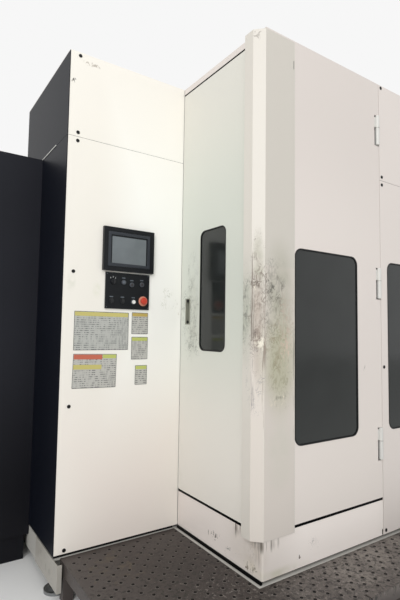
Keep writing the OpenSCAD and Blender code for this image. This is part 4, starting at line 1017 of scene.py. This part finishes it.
# %% [markdown]
# ## Plates on the magazine
# Five printed plates are stuck on the magazine's front. They are thin sheets with a dark rim and a
# coloured band along the top. Here they carry nothing to read: faint ruled rows stand where print would
# be. The rows come from a material that draws lines by height, broken up by a noise.

# %% Ruled plates
PLATE_THICK = 0.8
BAND_THICK = 0.35
ROWS_PER_METRE = 1 / (11 * MM)
INK_SHARE = 0.7


def printed(name, paper, ink):
    """A plate's face: pale paper with faint broken rows of ink."""
    tree, shader = new_material(name, {"Specular IOR Level": 0.3})
    coat = use_group(tree, COAT, {"Colour": srgb(paper), "Drift": 0.2, "Peel": 60.0})
    place = object_place(tree)
    row = maths(tree, "FRACT", maths(tree, "MULTIPLY", split(tree, place)["Z"], ROWS_PER_METRE))
    line = maths(tree, "LESS_THAN", row, 0.45)
    words = noise(tree, vectors(tree, "MULTIPLY", place, (260, 260, ROWS_PER_METRE * 0.9)), 0.45, 2.0)
    mask = maths(tree, "MULTIPLY", line, remap(tree, words, 0.42, 0.6))
    faint = maths(tree, "MULTIPLY", mask, INK_SHARE)
    socket(tree, blend_colours(tree, faint, coat["Colour"], srgb(ink)), shader["Base Color"])
    socket(tree, coat["Roughness"], shader["Roughness"])


def wall_plate(name, x0, z0, x1, z1, paper, bands, tilt=0.0):
    """A thin plate on the magazine's front, with bands given as (x0, z0, x1, z1, finish) on it."""
    wide, tall = x1 - x0, z1 - z0
    base = plate(wide, tall, 2.5, PLATE_THICK)
    rim = ring(wide + 1, tall + 1, 2.5, 2.4, PLATE_THICK + 0.3)
    pieces = [(base, name, paper), (rim, name + "_rim", "rim_grey")]
    for count, (bx0, bz0, bx1, bz1, finish) in enumerate(bands):
        band = plate(bx1 - bx0, bz1 - bz0, 1, BAND_THICK)
        band.data.transform(Matrix.Translation(((bx0 + bx1 - x0 - x1) / 2, (bz0 + bz1 - z0 - z1) / 2, PLATE_THICK)))
        pieces.append((band, name + "_band_" + str(count), finish))
    for piece, piece_name, finish in pieces:
        piece.data.transform(Matrix.Rotation(tilt, 4, "Z"))
        settle(piece, piece_name, "front", ((x0 + x1) / 2, MAGAZINE_Y, (z0 + z1) / 2), finish)


printed("paper_white", (194, 193, 187), (70, 72, 74))
printed("paper_grey", (188, 189, 184), (72, 76, 78))
coated("rim_grey", (104, 106, 102), drift=0.4)
coated("band_yellow", (206, 196, 120), drift=0.3)
coated("band_green", (196, 204, 112), drift=0.3)
coated("band_red", (206, 112, 88), drift=0.4)
coated("band_ochre", (196, 172, 96), drift=0.3)
wall_plate("plate_wide", -648, 1009, -341, 1212, "paper_grey", [(-645, 1188, -344, 1209, "band_yellow")])
wall_plate("plate_low", -648, 811, -408, 988, "paper_white", [
    (-645, 960, -490, 985, "band_red"), (-487, 966, -411, 985, "band_green"),
    (-645, 908, -492, 932, "band_yellow")], math.radians(-1.0))
wall_plate("plate_right_top", -321, 1096, -221, 1215, "paper_white", [(-318, 1194, -224, 1212, "band_ochre")])
wall_plate("plate_right_middle", -320, 955, -220, 1079, "paper_white", [(-317, 1058, -223, 1076, "band_green")])
wall_plate("plate_right_low", -294, 815, -221, 921, "paper_white", [(-291, 900, -224, 918, "band_green")])
print("plates: 5")

# %% [markdown]
# ## Pull, cover and hinges
# The pull is a pressed cup held by two black screws, one at each end. A thin grey strip, a painted
# shadow, runs up the cover's end and stops under a short dark dash. Each hinge has a washer between its
# halves, a domed cap on top, and a dark plate at the back of its notch, painted shade of the notch.

# %% Pull screws
PULL = middle("door_pull")
PULL_REACH = (high("door_pull").z - low("door_pull").z) / 2 - 14
settle(copies(stud(10, 3, 1, 3, 1.5, around=20), [(-PULL.y, PULL.z - PULL_REACH), (-PULL.y, PULL.z + PULL_REACH)]),
       "pull_screws", "left", (0.5, 0, 0), "screw_black", "setup_door")

# %% The cover's painted shadow line and dark dash
COVER_LOW = low("corner_cover")
LINE_TOP = 2447
coated("painted_shadow_grey", (138, 136, 132), drift=0.3)
# A grey strip along the cover's end: painted shadow of the cover's proud edge.
settle(block(3, LINE_TOP - COVER_LOW.z, 1.5, 0.4), "cover_edge_shadow_line", "front",
       (high("corner_cover").x - 0.5, 0.3, COVER_LOW.z), "painted_shadow_grey", "setup_door")
settle(block(3, 43, 0.6, 0.2), "cover_dark_dash", "front", (191, COVER_LOW.y, LINE_TOP), "rubber", "setup_door")

# %% Hinge washers, caps and notches
HINGE_X = DOOR_W - 15
HINGES_Z = (500, 1404, 2311)
BARREL_HALF = 85
SPLIT = 17
ground("washer_steel", (168, 166, 158))
coated("notch_painted_shade", (46, 47, 47), drift=0.2)
for count, z in enumerate(HINGES_Z):
    name = "hinge_" + str(count)
    settle(turned(12.55, 13.6, 2.4, 0.4), name + "_washer", "top", (HINGE_X, 0, z + SPLIT - 1.2), "washer_steel")
    settle(stud(12.4, 5, 2.4), name + "_cap", "top", (HINGE_X, 0, z + BARREL_HALF), "hinge_paint", "setup_door")
# Dark plates at the back of each hinge notch: painted shade of the recess.
backs = [block(36, 2 * BARREL_HALF + 10, 2, 0.6, HINGE_X - 23, z - BARREL_HALF - 5) for z in HINGES_Z]
settle(joined(*backs), "hinge_notch_shade_backs", "front", (0, 27, 0), "notch_painted_shade")

# %% [markdown]
# ## The step's tread
# The tread is a plate with a grid of punched, raised holes that give grip. One hole is modelled as a low
# cone whose top is inset and pushed down, and its pit is given a near-black material, painted shade of
# the hole. The Array modifier repeats it in rows and columns, once for even and once for odd places,
# round the corner.

# %% Punched holes
HOLE_PITCH = 40
HOLE_R = 9.8
HOLE_HEIGHT = 1.2
# Near-black pits: painted shade inside the punched holes.
coated("pit_painted_shade", (9, 8, 8), drift=0.2, shine=0.1)
coated("worn_edge", (112, 105, 100), drift=0.8, peel=120.0)


def punched_hole():
    """A raised rim with a near-black pit, painted shade of the hole."""
    clear()
    bpy.ops.mesh.primitive_cone_add(vertices=12, radius1=HOLE_R, radius2=HOLE_R - 0.8, depth=HOLE_HEIGHT,
                                    location=(0, 0, HOLE_HEIGHT / 2))
    obj = bpy.context.object
    apply_place()
    edit(obj, facing_up)
    bpy.ops.mesh.inset(thickness=0.6)
    bpy.ops.mesh.extrude_region_move(TRANSFORM_OT_translate={"value": (0, 0, -1.0)})
    done()
    obj.data.materials.append(FINISHES["worn_edge"])
    obj.data.materials.append(FINISHES["pit_painted_shade"])
    for face in obj.data.polygons:
        inner = face.center.xy.length < HOLE_R - 1.2
        face.material_index = 1 if inner and face.center.z < HOLE_HEIGHT - 0.05 else 0
    edit(obj, facing_down)
    bpy.ops.mesh.delete(type="FACE")
    done()
    return obj


def hole_rows(x0, x1, y0, y1):
    """Holes over a rectangle, at the even and at the odd places of the grid."""
    made = []
    for odd in (0, 1):
        first_x = math.ceil((x0 / HOLE_PITCH - odd) / 2) * 2 + odd
        first_y = math.ceil((y0 / HOLE_PITCH - odd) / 2) * 2 + odd
        hole = punched_hole()
        hole.location = (first_x * HOLE_PITCH, first_y * HOLE_PITCH, 0)
        apply_place()
        for last, first, step in [(x1, first_x, (2 * HOLE_PITCH, 0, 0)), (y1, first_y, (0, 2 * HOLE_PITCH, 0))]:
            applied(hole, "ARRAY", count=int((last / HOLE_PITCH - first) // 2) + 1, use_relative_offset=False,
                    use_constant_offset=True, constant_offset_displace=step)
        made.append(hole)
    return made


TREAD = high("step_platform")
TREAD_LOW = low("step_platform")
holes = hole_rows(TREAD_LOW.x + 25, -36, TREAD_LOW.y + 20, TREAD.y - 20)
holes += hole_rows(-35, TREAD.x - 20, TREAD_LOW.y + 20, -20)
grip = settle(joined(*holes), "tread_holes", "top", (0, 0, TREAD.z), None)
print("tread triangles:", sum(len(face.vertices) - 2 for face in grip.data.polygons))

# %% [markdown]
# ## The operating panel
# The machine is run from a panel on its right side: a screen in a shallow recess, soft keys under it, and
# below the slanted step a keyboard, two override knobs and a few lamps. The keys are one eased block,
# copied over a grid. Two tones of key tell letters from functions, and no key carries a sign.

# %% Screen, keys, knobs and lamps
PANEL_LOW = low("cnc_panel")
PANEL_MID_Y = middle("cnc_panel").y
KEY_FACE = high("cnc_panel").x
SCREEN = (KEY_FACE - 78, PANEL_MID_Y, PANEL_LOW.z + 540)
KEY_PITCH = 26
SOFT_KEY_PITCH = 36
coated("key_pale", (176, 178, 176), drift=0.2, peel=500.0)
coated("key_slate", (92, 97, 103), drift=0.2, peel=500.0)
coated("lamp_green", (96, 150, 104), drift=0.1, peel=500.0, shine=0.5)
settle(ring(376, 276, 0, 13, 3), "cnc_screen_frame", "right", SCREEN, "black_gloss")
settle(plate(350, 250, 3, 1.5), "cnc_screen", "right", SCREEN, "screen_glass")


def on_panel(across, upward, count_across=1, count_up=1, pitch=KEY_PITCH):
    """Places on the panel, counted in rows and columns from one near its lower left corner."""
    return [(PANEL_LOW.y + across + pitch * column, PANEL_LOW.z + upward + pitch * row)
            for column in range(count_across) for row in range(count_up)]


soft_keys = [(PANEL_MID_Y + SOFT_KEY_PITCH * k, PANEL_LOW.z + 376) for k in range(-5, 6)]
letter_keys = on_panel(50, 170, 10, 5)
function_keys = on_panel(350, 170, 5, 5)
knobs = on_panel(75, 85) + on_panel(170, 85)
lamps = on_panel(250, 85, 3, pitch=45)
for name, piece, spots, back, finish in [
        ("cnc_soft_keys", block(26, 14, 4, 1.2, -13, -7), soft_keys, 70, "key_pale"),
        ("cnc_letter_keys", block(21, 20, 4, 1.2, -10.5, -10), letter_keys, 0, "key_pale"),
        ("cnc_function_keys", block(21, 20, 4, 1.2, -10.5, -10), function_keys, 0, "key_slate"),
        ("cnc_knob_dials", turned(21, 29, 2, 0.5), knobs, 0, "key_pale"),
        ("cnc_knobs", stud(18, 17, 3), knobs, 0, "black_gloss"),
        ("cnc_knob_marks", plate(3, 15, 1, 0.8), [(y, z + 8, 17) for y, z in knobs], 0, "mark_white"),
        ("cnc_lamps", stud(11, 7, 2), lamps, 0, "lamp_green")]:
    settle(copies(piece, spots), name, "right", (KEY_FACE - back, 0, 0), finish)
print("keys:", len(soft_keys) + len(letter_keys) + len(function_keys))

# %% [markdown]
# ## The machine's other sides
# The right and the rear are sheet-metal panels held by the same socket screws as the front. The dark
# doors of the cabinet and of the magazine close with a turn latch, and the cabinet's door has pressed
# louvres. A louvre starts as a flat block, and its face is extruded outwards and moved down.

# %% Panel screws
WALL_X = high("front_panel_lower").x
SIDE_SCREWS_Z = [24, 640, 1290, 1930, 2556]
REAR_SCREWS_Z = [low("outer_panels").z + 760, 1290, 1930, 2556]
screws("right_panel_screws", "right",
       [(WALL_X, y, z) for y in (45, 1222, 2228, REAR_Y - 45) for z in SIDE_SCREWS_Z])
screws("rear_panel_screws", "rear",
       [(x, REAR_Y, z) for x in (40, WALL_X / 2, WALL_X - 40) for z in REAR_SCREWS_Z])
screws("left_panel_screws", "left", [(0, y, z) for y in (2490, 2880, REAR_Y - 45) for z in SIDE_SCREWS_Z])
screws("roof_screws", "top",
       [(x, y, TOP_Z) for x in (30, WALL_X / 2, WALL_X - 30) for y in (40, 1080, 2190, REAR_Y - 40)])

# %% Latches and louvres
LATCH_Z = 1080
LOUVRE_PITCH = 26


def louvre():
    """A pressed louvre, 180 mm wide, that opens downwards."""
    obj = block(180, 14, 1, 0, -90)
    edit(obj, facing_up)
    bpy.ops.mesh.extrude_region_move(TRANSFORM_OT_translate={"value": (0, -4, 6)})
    done()
    applied(obj, "BEVEL", width=1.2, segments=2, limit_method="ANGLE")
    return obj


for name, door in (("cabinet_latch", "cabinet_door"), ("tool_door_latch", "tool_door")):
    handle = joined(plate(34, 130, 8, 3), stud(13, 12, 2), block(18, 104, 9, 3, -9, -88, 11))
    settle(handle, name, "left", (low(door).x, low(door).y + 45, LATCH_Z), "black_plastic", door)
CABINET_FACE = (low("cabinet_door").x, 0, 0)
louvre_spots = [(-middle("cabinet_door").y, z + LOUVRE_PITCH * k) for z in (300, 1780) for k in range(8)]
settle(copies(louvre(), louvre_spots), "cabinet_louvres", "left", CABINET_FACE, "cabinet_paint", "cabinet_door")
# Black strips under the louvres: painted shade of their openings.
settle(copies(plate(166, 3, 1, 0.4), [(y, z - 5) for y, z in louvre_spots]), "cabinet_louvre_shade", "left",
       CABINET_FACE, "painted_shade_black", "cabinet_door")
print("louvres:", len(louvre_spots))

# %% [markdown]
# ## Tank and conveyor
# The coolant tank carries two pumps. Each is bolted down through its flange and has a ribbed fan cover
# on top. The tank's lid has two lifting grips, and the conveyor's sides are bolted along their edges.

# %% Pumps, grips and bolts
TANK_LOW = low("coolant_tank")
TANK_HIGH = high("coolant_tank")
CONVEYOR_LOW = low("chip_conveyor")
PUMP_TOP = TANK_HIGH.z
PUMP_FLANGE = PUMP_TOP - 270
TANK_LID = PUMP_TOP - 299
BOLT_CIRCLE = 77
pumps = [(x, REAR_Y + 300) for x in (TANK_LOW.x + 180, TANK_HIGH.x - 240)]
grips = [(x, REAR_Y + 560) for x in (TANK_LOW.x + 330, TANK_HIGH.x - 420)]
bolts = [(x + BOLT_CIRCLE * math.cos(math.radians(45 * k)), y + BOLT_CIRCLE * math.sin(math.radians(45 * k)))
         for x, y in pumps for k in range(8)]
settle(copies(stud(8, 6, 1, around=6), bolts), "pump_bolts", "top", (0, 0, PUMP_FLANGE), "zinc_steel")
fan_cover = joined(*[turned(r, r + 4, 4, 1) for r in (14, 26, 38, 50)], turned(59, 67, 14, 2))
settle(copies(fan_cover, pumps), "pump_fan_covers", "top", (0, 0, PUMP_TOP - 1), "motor_paint")
grip_bar = joined(block(120, 10, 8, 2.5, -60, -5, 30), block(10, 10, 32, 2.5, -60, -5),
                  block(10, 10, 32, 2.5, 50, -5))
settle(copies(grip_bar, grips), "tank_lid_grips", "top", (0, 0, TANK_LID - 1), "zinc_steel")
settle(copies(stud(7, 5, 1, around=6), [(-(REAR_Y + 80 + 70 * k), CONVEYOR_LOW.z + 40) for k in range(2)]),
       "conveyor_bolts", "left", (CONVEYOR_LOW.x, 0, 0), "zinc_steel")
print("pumps:", len(pumps))
